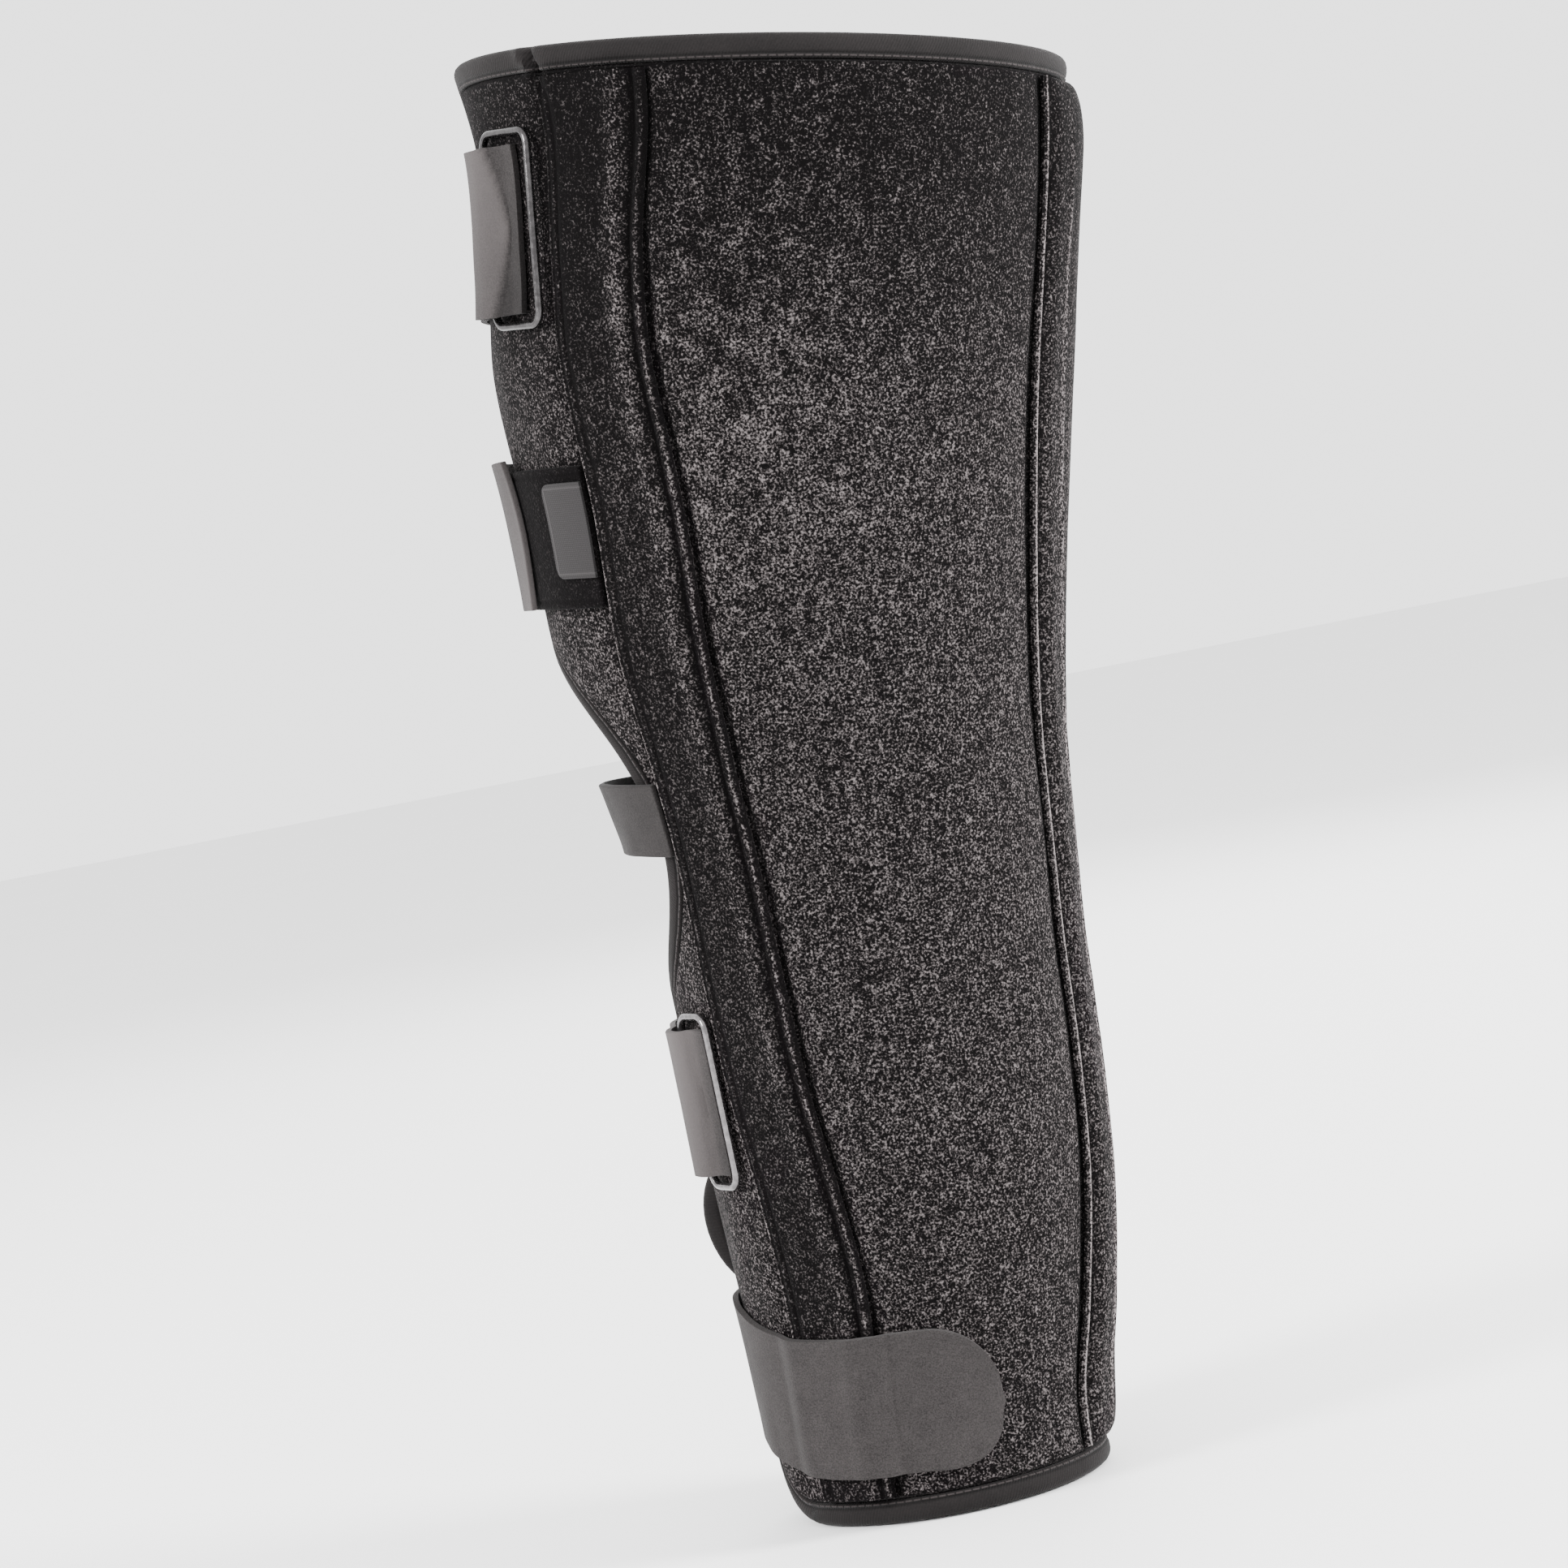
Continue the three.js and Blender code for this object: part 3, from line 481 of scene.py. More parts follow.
class Finish:
    """A material under construction."""

    def __init__(self, name, roughness, **constants):
        self.material = bpy.data.materials.new(name)
        self.material.use_nodes = True
        self.tree = self.material.node_tree
        self.shader = self.tree.nodes["Principled BSDF"]
        self.shader.inputs["Roughness"].default_value = roughness
        for socket, value in constants.items():
            self.shader.inputs[socket.replace("_", " ")].default_value = value

    def node(self, kind, settings=None, inputs=None, output=0):
        """Adds a node: its settings first, then the values or links of its sockets."""
        made = self.tree.nodes.new(kind)
        for key, value in (settings or {}).items():
            setattr(made, key, value)
        for key, value in (inputs or {}).items():
            self.put(made.inputs[key], value)
        return Shade(self, made.outputs[output])

    def put(self, socket, value):
        if isinstance(value, Shade):
            self.tree.links.new(value.socket, socket)
        else:
            socket.default_value = value

    def place(self, output="Object"):
        return self.node("ShaderNodeTexCoord", output=output)

    def parts(self, source, *axes):
        """Lengths in metres along some axes of the surface map or of the piece itself."""
        split = self.node("ShaderNodeSeparateXYZ", inputs={0: self.place(source)})
        return [Shade(self, split.socket.node.outputs[axis]) for axis in axes]

    def noise(self, scale, detail=2.0, rough=0.5, vector=None):
        inputs = {"Vector": vector or self.place(), "Scale": scale, "Detail": detail,
                  "Roughness": rough}
        return self.node("ShaderNodeTexNoise", inputs=inputs)

    def stretched_map(self, scale):
        return self.node("ShaderNodeMapping", inputs={"Vector": self.place("UV"), "Scale": scale})

    def mix(self, first, second, factor):
        settings = {"data_type": "RGBA"}
        inputs = {"Factor": factor, 6: colour(first), 7: colour(second)}
        return self.node("ShaderNodeMix", settings, inputs, output=2)

    def set(self, socket, value):
        self.put(self.shader.inputs[socket], value)

    def relief(self, height, distance, strength=1.0):
        """Bumps whose height is given in shares of a distance in millimetres."""
        inputs = {"Height": height, "Distance": distance / PER_METRE, "Strength": strength}
        self.set("Normal", self.node("ShaderNodeBump", inputs=inputs))


def colour(value):
    """A colour socket's value: a link as it is, or three numbers with full opacity."""
    return value if isinstance(value, Shade) else (*value, 1.0)[:4]


def colour_property(name, description, value):
    return FloatVectorProperty(name=name, description=description, subtype="COLOR", size=3,
                               min=0.0, max=1.0, default=value)


class ImmobilizerColours(PropertyGroup):
    """The cloths' colours."""

    plush: colour_property("Plush", "Ground colour of the brushed plush", (0.0014, 0.0011, 0.0012))
    loops: colour_property(
        "Plush loops", "Colour of the loop tips that catch the light", (0.128, 0.113, 0.113))
    tape: colour_property(
        "Binding tape", "Colour of the knitted binding", (0.0060, 0.0050, 0.0050))
    webbing: colour_property("Straps", "Colour of the strap cloth", (0.0203, 0.0181, 0.0180))
    label: colour_property("Label", "Colour of the bare sewn tab", (0.0175, 0.0158, 0.0162))
    wire: colour_property("Rings", "Colour of the plated wire", (0.055, 0.052, 0.053))


def length_property(name, description, value, lowest, highest):
    return FloatProperty(name=name, description=description, subtype="DISTANCE", unit="LENGTH",
                         default=value, min=lowest, max=highest)


class ImmobilizerSizes(PropertyGroup):
    """Sizes of the visual detail that the solids don't carry."""

    groove: length_property(
        "Seam groove", "Depth of the groove along a sewn seam", 0.0016, 0.0, 0.003)
    waviness: length_property(
        "Waviness", "How uneven the soft foam wall is", 0.0007, 0.0, 0.003)
    strap_thickness: length_property(
        "Strap thickness", "Thickness of the strap cloth", 0.0022, 0.001, 0.004)
    speck_size: length_property(
        "Loop size", "Width of one loop of the plush", 0.0008, 0.0002, 0.002)


def sizes():
    return bpy.context.scene.immobilizer_sizes


def colours():
    return bpy.context.scene.immobilizer_colours


def plush_finish():
    """Near-black brushed loop plush, its loop tips catching the light in uneven patches, with
    painted shade in grooves and painted highlights on welts, folds and ridges.
    """
    known = bpy.data.materials.get("brushed_plush")
    if known:
        return known
    finish = Finish("brushed_plush", 0.95, Sheen_Weight=0.02, Sheen_Roughness=0.4,
                    Specular_IOR_Level=0.04)
    pitch = 1 / sizes().speck_size
    painted_light = finish.node("ShaderNodeAttribute", {"attribute_name": "painted_light"}, output="Fac")
    loops = finish.noise(pitch, 1.5, 0.6)
    clumps = finish.noise(pitch * 0.3, 2.0, 0.6)
    patches = finish.noise(120, 3.0, 0.65)
    x, height = finish.parts("Object", 0, 2)
    # Paler from the lower thigh down, and crushed in patches in the middle of the thigh
    paler_below = height.fade(0.50, 0.34)
    crushed = height.line(0.41, 0.15) * x.line(-0.02, 0.09)
    patchy = patches.fade(0.38, 0.62) * (0.22 + crushed * 0.78)
    # Thread lines, and painted highlights on welts, folds and ridges, add to the pile
    thread_and_highlight = painted_light.fade(0.3, 1.1)
    pile = loops + clumps * 0.26 + patchy * 0.07 + paler_below * 0.07 + painted_light * 0.09 + thread_and_highlight * 0.14
    tips = pile.fade(0.58, 0.98) ** 2.0
    # Painted shade dims the tips in grooves, and painted highlights brighten them on welts, folds
    # and ridges
    lit = painted_light.fade(-1.0, 0.1) * (0.55 + paler_below * 0.2 + patchy * 0.18 + painted_light.fade(0.0, 1.0) * 0.3)
    finish.set("Base Color", finish.mix(colours().plush, colours().loops, tips * lit))
    finish.relief(loops * 0.6 + clumps * 0.6, 0.7, 0.7)
    return finish.material


def tape_finish():
    """Knitted binding tape with fine ribs across it and one topstitch near its inner edge."""
    finish = Finish("binding_tape", 0.85, Sheen_Weight=0.04, Sheen_Roughness=0.4,
                    Specular_IOR_Level=0.12)
    along, across = finish.parts("UV", 0, 1)
    rib = (along + across * 0.45).wrapped(0.0011) / 0.00055
    grain = finish.noise(1400, 2.0)
    stitch = across.line(0.0026, 0.00045) * along.wrapped(0.0030).fade(0.0002, 0.0005)
    valley = across.line(0.0035, 0.0009)
    tone = grain.fade(0.3, 0.7) * 0.35 + rib * 0.25 + finish.noise(60).fade(0.3, 0.7) * 0.3
    base = colours().tape
    ground = finish.mix([c * 0.6 for c in base], [c * 1.5 for c in base], tone)
    # The valley beside the topstitch gets painted shade
    shaded = finish.mix(ground, [c * 0.25 for c in base], valley * 0.6)
    finish.set("Base Color", finish.mix(shaded, [c * 5.0 for c in base], stitch * 0.9))
    finish.relief(rib * 0.25 + grain * 0.3 - valley * 0.8 + stitch * 0.7, 0.35)
    return finish.material


def strap_finish():
    """Grey strap cloth of fine brushed loops with faint lengthwise streaks.

    It gets painted light where the stored value is above 0 and painted shade where it is below."""
    known = bpy.data.materials.get("strap_cloth")
    if known:
        return known
    finish = Finish("strap_cloth", 0.85, Sheen_Weight=0.05, Sheen_Roughness=0.35,
                    Specular_IOR_Level=0.12)
    streaks = finish.noise(1.0, 2.0, vector=finish.stretched_map((160, 1500, 1)))
    fuzz = finish.noise(1900, 2.5, 0.6)
    mottle = finish.noise(130, 2.0)
    painted_light = finish.node("ShaderNodeAttribute", {"attribute_name": "painted_light"}, output="Fac")
    tone = fuzz.fade(0.3, 0.7) * 0.75 + streaks.fade(0.3, 0.7) * 0.1 + mottle.fade(0.3, 0.7) * 0.15
    base = colours().webbing
    cloth = finish.mix([c * 0.55 for c in base], [c * 1.5 for c in base], tone)
    # Painted shade where the stored value is below 0 and painted light where it is above
    shaded = finish.mix(cloth, [c * 0.08 for c in base], painted_light * -1)
    finish.set("Base Color", finish.mix(shaded, [c * 3.2 for c in base], painted_light))
    finish.relief(fuzz + streaks * 0.3, 0.3, 0.7)
    return finish.material


def label_finish():
    """A bare grey woven tab with a stitched border."""
    finish = Finish("label_cloth", 0.8, Sheen_Weight=0.03, Specular_IOR_Level=0.15)
    along, across = finish.parts("UV", 0, 1)
    # The border is stitched about 1.6 mm in from the tab's edge
    weave = along.wrapped(0.0007) / 0.00035 * (across.wrapped(0.0007) / 0.00035)
    border = abs(across).line(0.0148, 0.0007).larger(along.line(0.0016, 0.0007))
    base = colours().label
    ground = finish.mix([c * 0.6 for c in base], [c * 1.15 for c in base], weave)
    finish.set("Base Color", finish.mix(ground, [c * 1.8 for c in base], border * 0.6))
    finish.relief(weave * 0.4 + border * 0.8, 0.3)
    return finish.material


def wire_finish(name, brightness):
    """Plated wire, slightly worn and uneven in its gloss."""
    finish = Finish(name, 0.3, Metallic=0.9, Specular_IOR_Level=0.5)
    wear = finish.noise(420, 3.0, 0.6).fade(0.35, 0.75)
    base = [c * brightness for c in colours().wire]
    finish.set("Base Color", finish.mix([c * 0.75 for c in base], [c * 1.3 for c in base], wear))
    finish.set("Roughness", 0.16 + wear * 0.16)
    finish.relief(finish.noise(900, 2.0), 0.05, 0.4)
    return finish.material


def panel_grid():
    """Angles and heights of the panel's grid, with columns along each seam."""
    share = panel_rows()
    near, far = edge_angles(share)
    left = np.maximum(seam(LEFT, share), near + 0.2)
    far_left = np.minimum(seam(LEFT, share, True), far - 0.2)
    back = seam(POSTERIOR, share)
    knots = [near, left, seam(RIGHT, share), back, 360 - back, seam(RIGHT, share, True),
             far_left, far]
    counts = [22, 10, 52, 22, 52, 10, 22]
    spans = [spread(a, b, n) for a, b, n in zip(knots, knots[1:], counts)]
    angle = np.concatenate([*spans, far[:, None]], axis=1)
    return angle, row_height(angle, share[:, None])


def stations(angle, up):
    """The panel's border with each place's way out along the surface, per millimetre."""
    border = grid_border(*angle.shape)
    a, z = angle[border[:, 0], border[:, 1]], up[border[:, 0], border[:, 1]]
    arc = arc_per_degree(a, z)

    def heading(da, dz):
        step = np.stack([da * arc, dz], axis=-1)
        return step / np.linalg.norm(step, axis=-1, keepdims=True)

    before = heading(a - np.roll(a, 1), z - np.roll(z, 1))
    after = heading(np.roll(a, -1) - a, np.roll(z, -1) - z)
    along = before + after
    along /= np.linalg.norm(along, axis=-1, keepdims=True)
    return a, z, arc, along[:, 1], -along[:, 0]


def beyond(border, distance):
    a, z, arc, out_a, out_z = border
    return a + out_a * distance / arc, z + out_z * distance


def seam_relief(angle, up):
    """How far the plush dips along the sewn seams, in millimetres, with painted shade in the
    grooves and a faint painted highlight beside them.
    """
    share = up / rim_height(angle)
    arc = arc_per_degree(angle, up)
    depth = sizes().groove * PER_METRE
    dip = 0.0
    painted_light = 0.0
    for side in (LEFT, RIGHT, POSTERIOR):
        for far in (False, True):
            line = 360 - seam(side, share) if far and side == POSTERIOR else seam(side, share, far)
            away = np.abs(angle - line) * arc
            sewn = 0.4 if side == POSTERIOR else 1.0
            dip = dip + sewn * depth * bump(away, 0, 2.6) + 0.55 * sewn * bump(away, 0, 13)
            painted_light = painted_light - 0.5 * bump(away, 0.6, 2.6) + 0.10 * bump(away, 6.0, 3.5)
    return np.minimum(dip, 2.6), painted_light


class IMMOBILIZER_OT_panel(Operator):
    """Makes the padded wall, open down the front and pinched where the tape goes"""

    bl_idname = "immobilizer.panel"
    bl_label = "Padded wall"

    def execute(self, context):
        angle, up = panel_grid()
        border = stations(angle, up)
        dip, painted_light = seam_relief(angle, up)
        soft = ripple(angle, up, sizes().waviness * PER_METRE) - dip
        uv = np.stack([angle * MAP_PER_DEGREE, up], axis=-1)
        outer = on_wrap(angle, up, np.minimum(soft, 0.2))
        inner = on_wrap(angle, up, -WALL - 0.5 * ripple(angle + 90, up, 0.7))
        rings = []
        middle = -WALL / 2
        # How far out from the grid's border, and half the pinched wall's thickness there
        for distance, half in ((0.7, 3.7), (1.2, 2.9), (1.7, 2.1), (2.6, 1.9), (8.6, 1.9)):
            a, z = beyond(border, distance)
            rings.append((on_wrap(a, z, middle + half), on_wrap(a, z, middle - half),
                          np.stack([a * MAP_PER_DEGREE, z], axis=-1)))
        piece = padded_shell("padded_wall", outer, inner, uv, painted_light, plush_finish(), rings)
        settle(piece, "plush", "wrap_panel", fill=0.7)
        return {"FINISHED"}


def tape_section():
    """The folded tape's section, as distance out and across the wall, outside and then inside."""
    inside = PINCHED_WALL / 2 + CLEARANCE
    outside = inside + TAPE
    start, end = TAPE_START, EDGE_INSET
    skin = [
        (start, inside + 0.1), (start + 0.1, inside + 0.8), (start + 0.5, outside),
        (start + 1.0, outside + 0.15), (start + 1.5, outside - 0.15), (start + 2.1, outside + 0.2),
        (start + 3.4, outside + 0.5), (start + 5.0, outside + 0.55), (end - 2.2, outside + 0.3),
        (end - 1.1, outside - 0.35), (end - 0.35, outside - 1.35), (end - 0.05, 1.2),
    ]
    lining = [
        (start, inside - 0.05),
        *((start + distance, inside) for distance in (0.3, 0.7, 1.1, 1.6, 2.2, 3.4, 4.8)),
        (end - 2.6, inside - 0.1), (end - 2.0, inside - 0.5), (end - 1.7, inside - 1.1),
        (end - 1.55, 0.7),
    ]
    outward = skin + [(x, -y) for x, y in reversed(skin)]
    back = lining + [(x, -y) for x, y in reversed(lining)]
    return np.array(outward + back[::-1])


class IMMOBILIZER_OT_binding(Operator):
    """Folds the binding tape over the wall's edge, in the part's four lengths"""

    bl_idname = "immobilizer.binding"
    bl_label = "Binding tape"

    def execute(self, context):
        angle, up = panel_grid()
        border = stations(angle, up)
        points = on_wrap(border[0], border[1])
        length = np.concatenate([[0], np.cumsum(np.linalg.norm(np.diff(points, axis=0), axis=-1))])
        section = tape_section()
        finish = tape_finish()
        rows, columns = angle.shape
        total = len(border[0])
        # The border goes up along the far edge and down along the near one
        far, near = columns - 1, 2 * columns + rows - 3
        far_low, far_high = far + np.searchsorted(border[1][far:far + rows], TAPE_JOINS)
        near_low, near_high = near + np.searchsorted(-border[1][near:], np.negative(TAPE_JOINS))
        runs = (
            ("bottom_tape", "bottom_binding", near_low - total, far_low),
            ("far_front_tape", "far_front_binding", far_low, far_high),
            ("top_tape", "top_binding", far_high, near_high),
            ("near_front_tape", "near_front_binding", near_high, near_low),
        )
        for name, node, start, end in runs:
            k = np.arange(start, end + 1) % total
            part = tuple(values[k][:, None] for values in border)
            a, z = beyond(part, section[None, :, 0])
            pucker = 0.12 * np.sin(length[k] / 1.9)[:, None] * bump(section[None, :, 0], 3.4, 2.0)
            across = section[None, :, 1] + np.sign(section[None, :, 1]) * pucker
            slices = on_wrap(a, np.maximum(z, 0.0), across - WALL / 2)
            along = np.broadcast_to(length[k][:, None], a.shape)
            uv = np.stack([along, np.broadcast_to(section[None, :, 0], a.shape)], axis=-1)
            piece = swept_tube(name, slices, uv, finish)
            settle(piece, "tape", node)
        return {"FINISHED"}


def stay_pocket(name, node, far):
    """A pocket strip over a flat stay, with a double front seam and a rolled rear one."""
    share = panel_rows()
    ends = np.array([
        0, 0.012, 0.024, 0.036, 0.048, 0.06, 0.072, 0.084, 0.098, 0.114, 0.13, 0.155, 0.19])
    across = np.concatenate([ends, np.linspace(0.23, 0.77, 15), 1 - ends[::-1]])
    front, rear = seam(LEFT, share), seam(RIGHT, share)
    angle = front[:, None] + (rear - front)[:, None] * across[None, :]
    if far:
        angle = (360 + NEAR_EDGE + FAR_EDGE - angle)[:, ::-1]
        across = across[::-1]
    up = row_height(angle, share[:, None])
    width = (rear - front)[:, None] * arc_per_degree(angle, up)
    from_front = across[None, :] * width
    from_rear = (1 - across[None, :]) * width
    high = BAND_THICKNESS * (0.3 + 0.7 * ramp(from_front, -0.2, 1.3) * ramp(from_rear, -0.2, 1.3))
    ridge = STAY(np.broadcast_to(across[None, :], up.shape))
    high += (STAY_RIDGE - BAND_THICKNESS) * ridge
    high -= 0.35 * bump(from_front, 2.2, 0.9) + 0.6 * bump(from_front, 4.9, 1.2)
    high += 0.25 * bump(from_rear, 2.0, 0.6) - 1.1 * bump(from_rear, 4.3, 1.7)
    high += 0.25 * ripple(angle * 2, up * 1.7, 1.0) * ramp(from_front, 5, 9) * ramp(from_rear, 5, 9)
    outer = on_wrap(angle, up, CLEARANCE + np.maximum(high, 0.4))
    inner = on_wrap(angle, up, CLEARANCE)
    # 1 from the lower thigh down, where the front seam's painted highlight is stronger and the
    # ridge's fainter
    lower = ramp(-up, -430, -370)
    # Painted highlights on the front fold, on the rear welt and its thread, and along the stay's
    # ridge; painted shade in the grooves; the band darker away from its ridge
    painted_light = (0.6 + 0.6 * lower) * bump(from_front, 0.9, 1.2)
    painted_light += 0.4 * (1 - lower) * bump(from_front, 3.6, 0.5)
    painted_light -= 0.5 * bump(from_front, 2.2, 0.9) + 0.5 * bump(from_front, 5.2, 1.6)
    painted_light += 0.9 * bump(from_rear, 1.8, 0.75) - 0.5 * bump(from_rear, 4.4, 1.7)
    painted_light -= 0.45 * bump(from_rear, 0.2, 1.1)
    painted_light += (0.8 - 0.5 * lower) * ridge - 0.38
    across_map = np.where(across[None, :] < 0.5, from_front, 100 - from_rear)
    uv = np.stack([across_map, up], axis=-1)
    piece = padded_shell(name, outer, inner, uv, painted_light, plush_finish())
    settle(piece, "plush", node, fill=0.5)


class IMMOBILIZER_OT_stay_pockets(Operator):
    """Makes the two pocket strips sewn on over the side stays"""

    bl_idname = "immobilizer.stay_pockets"
    bl_label = "Stay pockets"

    def execute(self, context):
        stay_pocket("near_stay_pocket", "near_stay_band", False)
        stay_pocket("far_stay_pocket", "far_stay_band", True)
        return {"FINISHED"}


class IMMOBILIZER_OT_back_pocket(Operator):
    """Makes the padded pocket down the back, between two welted seams"""

    bl_idname = "immobilizer.back_pocket"
    bl_label = "Back pocket"

    def execute(self, context):
        share = panel_rows()
        ends = (1 - np.cos(np.linspace(0, np.pi / 2, 22))) * 0.62
        across = np.unique(np.concatenate([ends - 1, np.linspace(-0.36, 0.36, 15), 1 - ends]))
        half = 180 - seam(POSTERIOR, share)
        angle = 180 + half[:, None] * across[None, :]
        up = row_height(angle, share[:, None])
        arc = arc_per_degree(angle, up)
        away = (1 - np.abs(across[None, :])) * half[:, None] * arc
        to_end = np.minimum(up - EDGE_INSET, rim_height(angle) - EDGE_INSET - up) / POSTERIOR_END
        end = np.sqrt(1 - (1 - np.clip(to_end, 0, 1)) ** 2)
        crown = np.maximum(1 - across[None, :] ** 2, 0) ** 0.6 * end
        high = POSTERIOR_EDGE + (POSTERIOR_THICKNESS - POSTERIOR_EDGE) * crown * ramp(away, 3.4, 9)
        high += 0.9 * bump(away, 1.7, 1.7) + 0.8 * bump(away, 17.5, 2.2) * end
        high -= 0.7 * bump(away, 4.6, 1.4) + 0.5 * bump(away, 21.5, 3.0) * end
        high += 0.3 * ripple(angle * 2, up * 1.5, 1.0) * ramp(away, 6, 12) * end
        outer = on_wrap(angle, up, CLEARANCE + np.maximum(high, 0.5))
        inner = on_wrap(angle, up, CLEARANCE)
        # Painted highlights on the edge welt and its thread and on the fold line, and painted shade
        # in the grooves beside them
        painted_light = 1.1 * bump(away, 1.6, 1.0) - 0.6 * bump(away, 4.6, 1.5)
        painted_light += (0.75 * bump(away, 16.5, 1.8) - 0.4 * bump(away, 20.5, 3)) * end
        uv = np.stack([away, up], axis=-1)
        piece = padded_shell("back_pocket", outer, inner, uv, painted_light, plush_finish())
        settle(piece, "plush", "posterior_band", fill=0.8)
        return {"FINISHED"}


def along_seam(angle, up, at, near_too):
    """Near a stay band a cloth piece's end follows the seam, which isn't quite upright."""
    turn = SEAMS(up / rim_height(angle), LEFT) - SEAMS(at, LEFT)
    near_band = ramp(np.abs(angle), FRONT_REFERENCE, 2 * FRONT_REFERENCE)
    moved = angle + np.sign(angle) * turn * near_band
    return moved if near_too else np.where(angle > 0, angle, moved)


def arc_at(angle, at):
    """Millimetres to a degree, at an angle and a share of the height."""
    return float(arc_per_degree(angle, at * FRONT_HEIGHT))


def far_start(at):
    """The angle just off the far stay band's front seam, as near_end is off the near one's."""
    angle = float(seam(LEFT, at, True)) - 360
    return angle + 2 * CLEARANCE / arc_at(angle, at)


def near_end(at):
    angle = float(seam(LEFT, at))
    return angle - 2 * CLEARANCE / arc_at(angle, at)


def laid_strip(name, columns, rows, spot, thickness, finish, edge=0.45):
    """A flat cloth strip: a grid laid on the wrap, thickened, with its edges rounded over.

    For a place on the grid, from 0 to 1 both ways, the spot gives the angle, the height, the
    distance off the foam, the surface map's two lengths and the painted light and shade."""
    bpy.ops.object.select_all(action="DESELECT")
    bpy.ops.mesh.primitive_grid_add(
        x_subdivisions=columns, y_subdivisions=rows, size=1.0, location=(0, 0, 0))
    piece = bpy.context.object
    piece.name = piece.data.name = name
    mesh = piece.data
    flat = np.empty(len(mesh.vertices) * 3)
    mesh.vertices.foreach_get("co", flat)
    flat = flat.reshape(-1, 3)
    angle, up, out, along, across, painted_light = spot(flat[:, 0] + 0.5, flat[:, 1] + 0.5)
    mesh.vertices.foreach_set("co", (on_wrap(angle, up, out) / PER_METRE).ravel())
    loops = np.empty(len(mesh.loops), np.int32)
    mesh.loops.foreach_get("vertex_index", loops)
    uv = np.stack([along, across], axis=-1)[loops] / PER_METRE
    mesh.uv_layers.active.data.foreach_set("uv", uv.ravel())
    add_painted_light(mesh, np.broadcast_to(painted_light, along.shape))
    mesh.update()
    mesh.materials.append(finish)
    pick(piece)
    solid = piece.modifiers.new("thickness", "SOLIDIFY")
    solid.thickness = thickness / PER_METRE
    solid.offset = 1.0
    bpy.ops.object.modifier_apply(modifier=solid.name)
    rounded = piece.modifiers.new("rounded edges", "BEVEL")
    rounded.width = edge / PER_METRE
    rounded.segments = 3
    rounded.limit_method = "ANGLE"
    rounded.angle_limit = math.radians(50)
    bpy.ops.object.modifier_apply(modifier=rounded.name)
    bpy.ops.object.shade_smooth_by_angle(angle=math.radians(STRIP_SMOOTH))
    return piece


def strap(name, node, place, lift, line=None, taper=None, tone=None, swell=0.0):
    """A strap from the far stay band's seam to its near end, lying over what is under it.

    The lift is how high it lies, the line its middle's height, the taper its share of the full
    width, the tone its painted light and shade, and the swell how many degrees its near end bulges."""
    at, width, near = place
    start = far_start(at)
    end = near_end(at) if near is None else near
    middle = line or level(at)
    arc = arc_at(0.0, at)
    columns = max(int((end - start) * arc / STEP_ALONG), 12)
    rows = max(int(width / STEP_ACROSS), 10)

    def spot(s, t):
        side = 2 * t - 1
        base = start + (end - start) * s + swell * (1 - side**2) * ramp(s, 0.7, 1)
        half = width / 2 * (taper(base) if taper else 1.0)
        up = middle(base) + side * half
        angle = along_seam(base, up, at, near is None)
        wave = 0.22 * np.sin(base / 6.1 + side * 1.3) + 0.14 * np.sin(base / 2.9 - side * 2.0)
        curl = 0.25 * np.abs(side) ** 4
        out = CLEARANCE + EASE + lift(angle, up, side) + np.maximum(wave, 0) + curl
        painted_light = tone(base, side) if tone else 0.0
        return angle, up, out, (base - start) * arc, side * width / 2, painted_light

    thickness = sizes().strap_thickness * PER_METRE
    piece = laid_strip(name, columns, rows, spot, thickness, strap_finish())
    settle(piece, "webbing", node)


def level(at):
    return lambda angle: at * rim_height(angle)


def past(angle, side, crest, bulge):
    """1 beyond the strap's folded-back end, whose edge swells towards the middle."""
    return ramp(angle - bulge * (1 - np.abs(side)), crest, crest + 0.6)


def over_bar(bar, reach, arc, crest, bulge):
    """A ring strap's height: over the ring's front bar, with its end folded back over it."""
    flat = 3.6 / arc
    slope = 2.2 * reach / arc

    def lift(angle, up, side):
        off = np.maximum(np.abs(angle - bar) - flat, 0)
        fold = 1.5 * ramp(angle, bar - 4, bar) * (1 - past(angle, side, crest, bulge))
        return reach * (1 - ramp(off, 0, slope)) + fold

    return lift


def thigh_painted_light(angle, side):
    """The folded-back end catches the light, and the layer under it lies in its shade."""
    return (0.42 + 0.2 * side) * ramp(angle, 0, 12) - 0.74 * past(angle, side, *THIGH_FOLD)


# Painted light: paler past 12 degrees and towards the strap's lower edge
def lower_thigh_painted_light(angle, side):
    return (0.45 - 0.2 * side) * ramp(angle, 0, 12)


def calf_painted_light(angle, side):
    """Painted light on the fold in front, turning into painted shade towards its end."""
    return (0.75 + 0.2 * side) * ramp(angle, -12, 0) - 0.9 * ramp(angle, 21, 33)


def stay_cover(angle, up, side):
    """How high the near stay band stands over the foam, eased over its edges."""
    share = up / rim_height(angle)
    front, rear = SEAMS(share, LEFT), SEAMS(share, RIGHT)
    across = np.clip((angle - front) / (rear - front), 0, 1)
    rise = ramp(angle, front - 7, front + 3) * ramp(-angle, -rear - 5, -rear - 0.5)
    return (CLEARANCE + BAND_THICKNESS + (STAY_RIDGE - BAND_THICKNESS) * STAY(across)) * rise


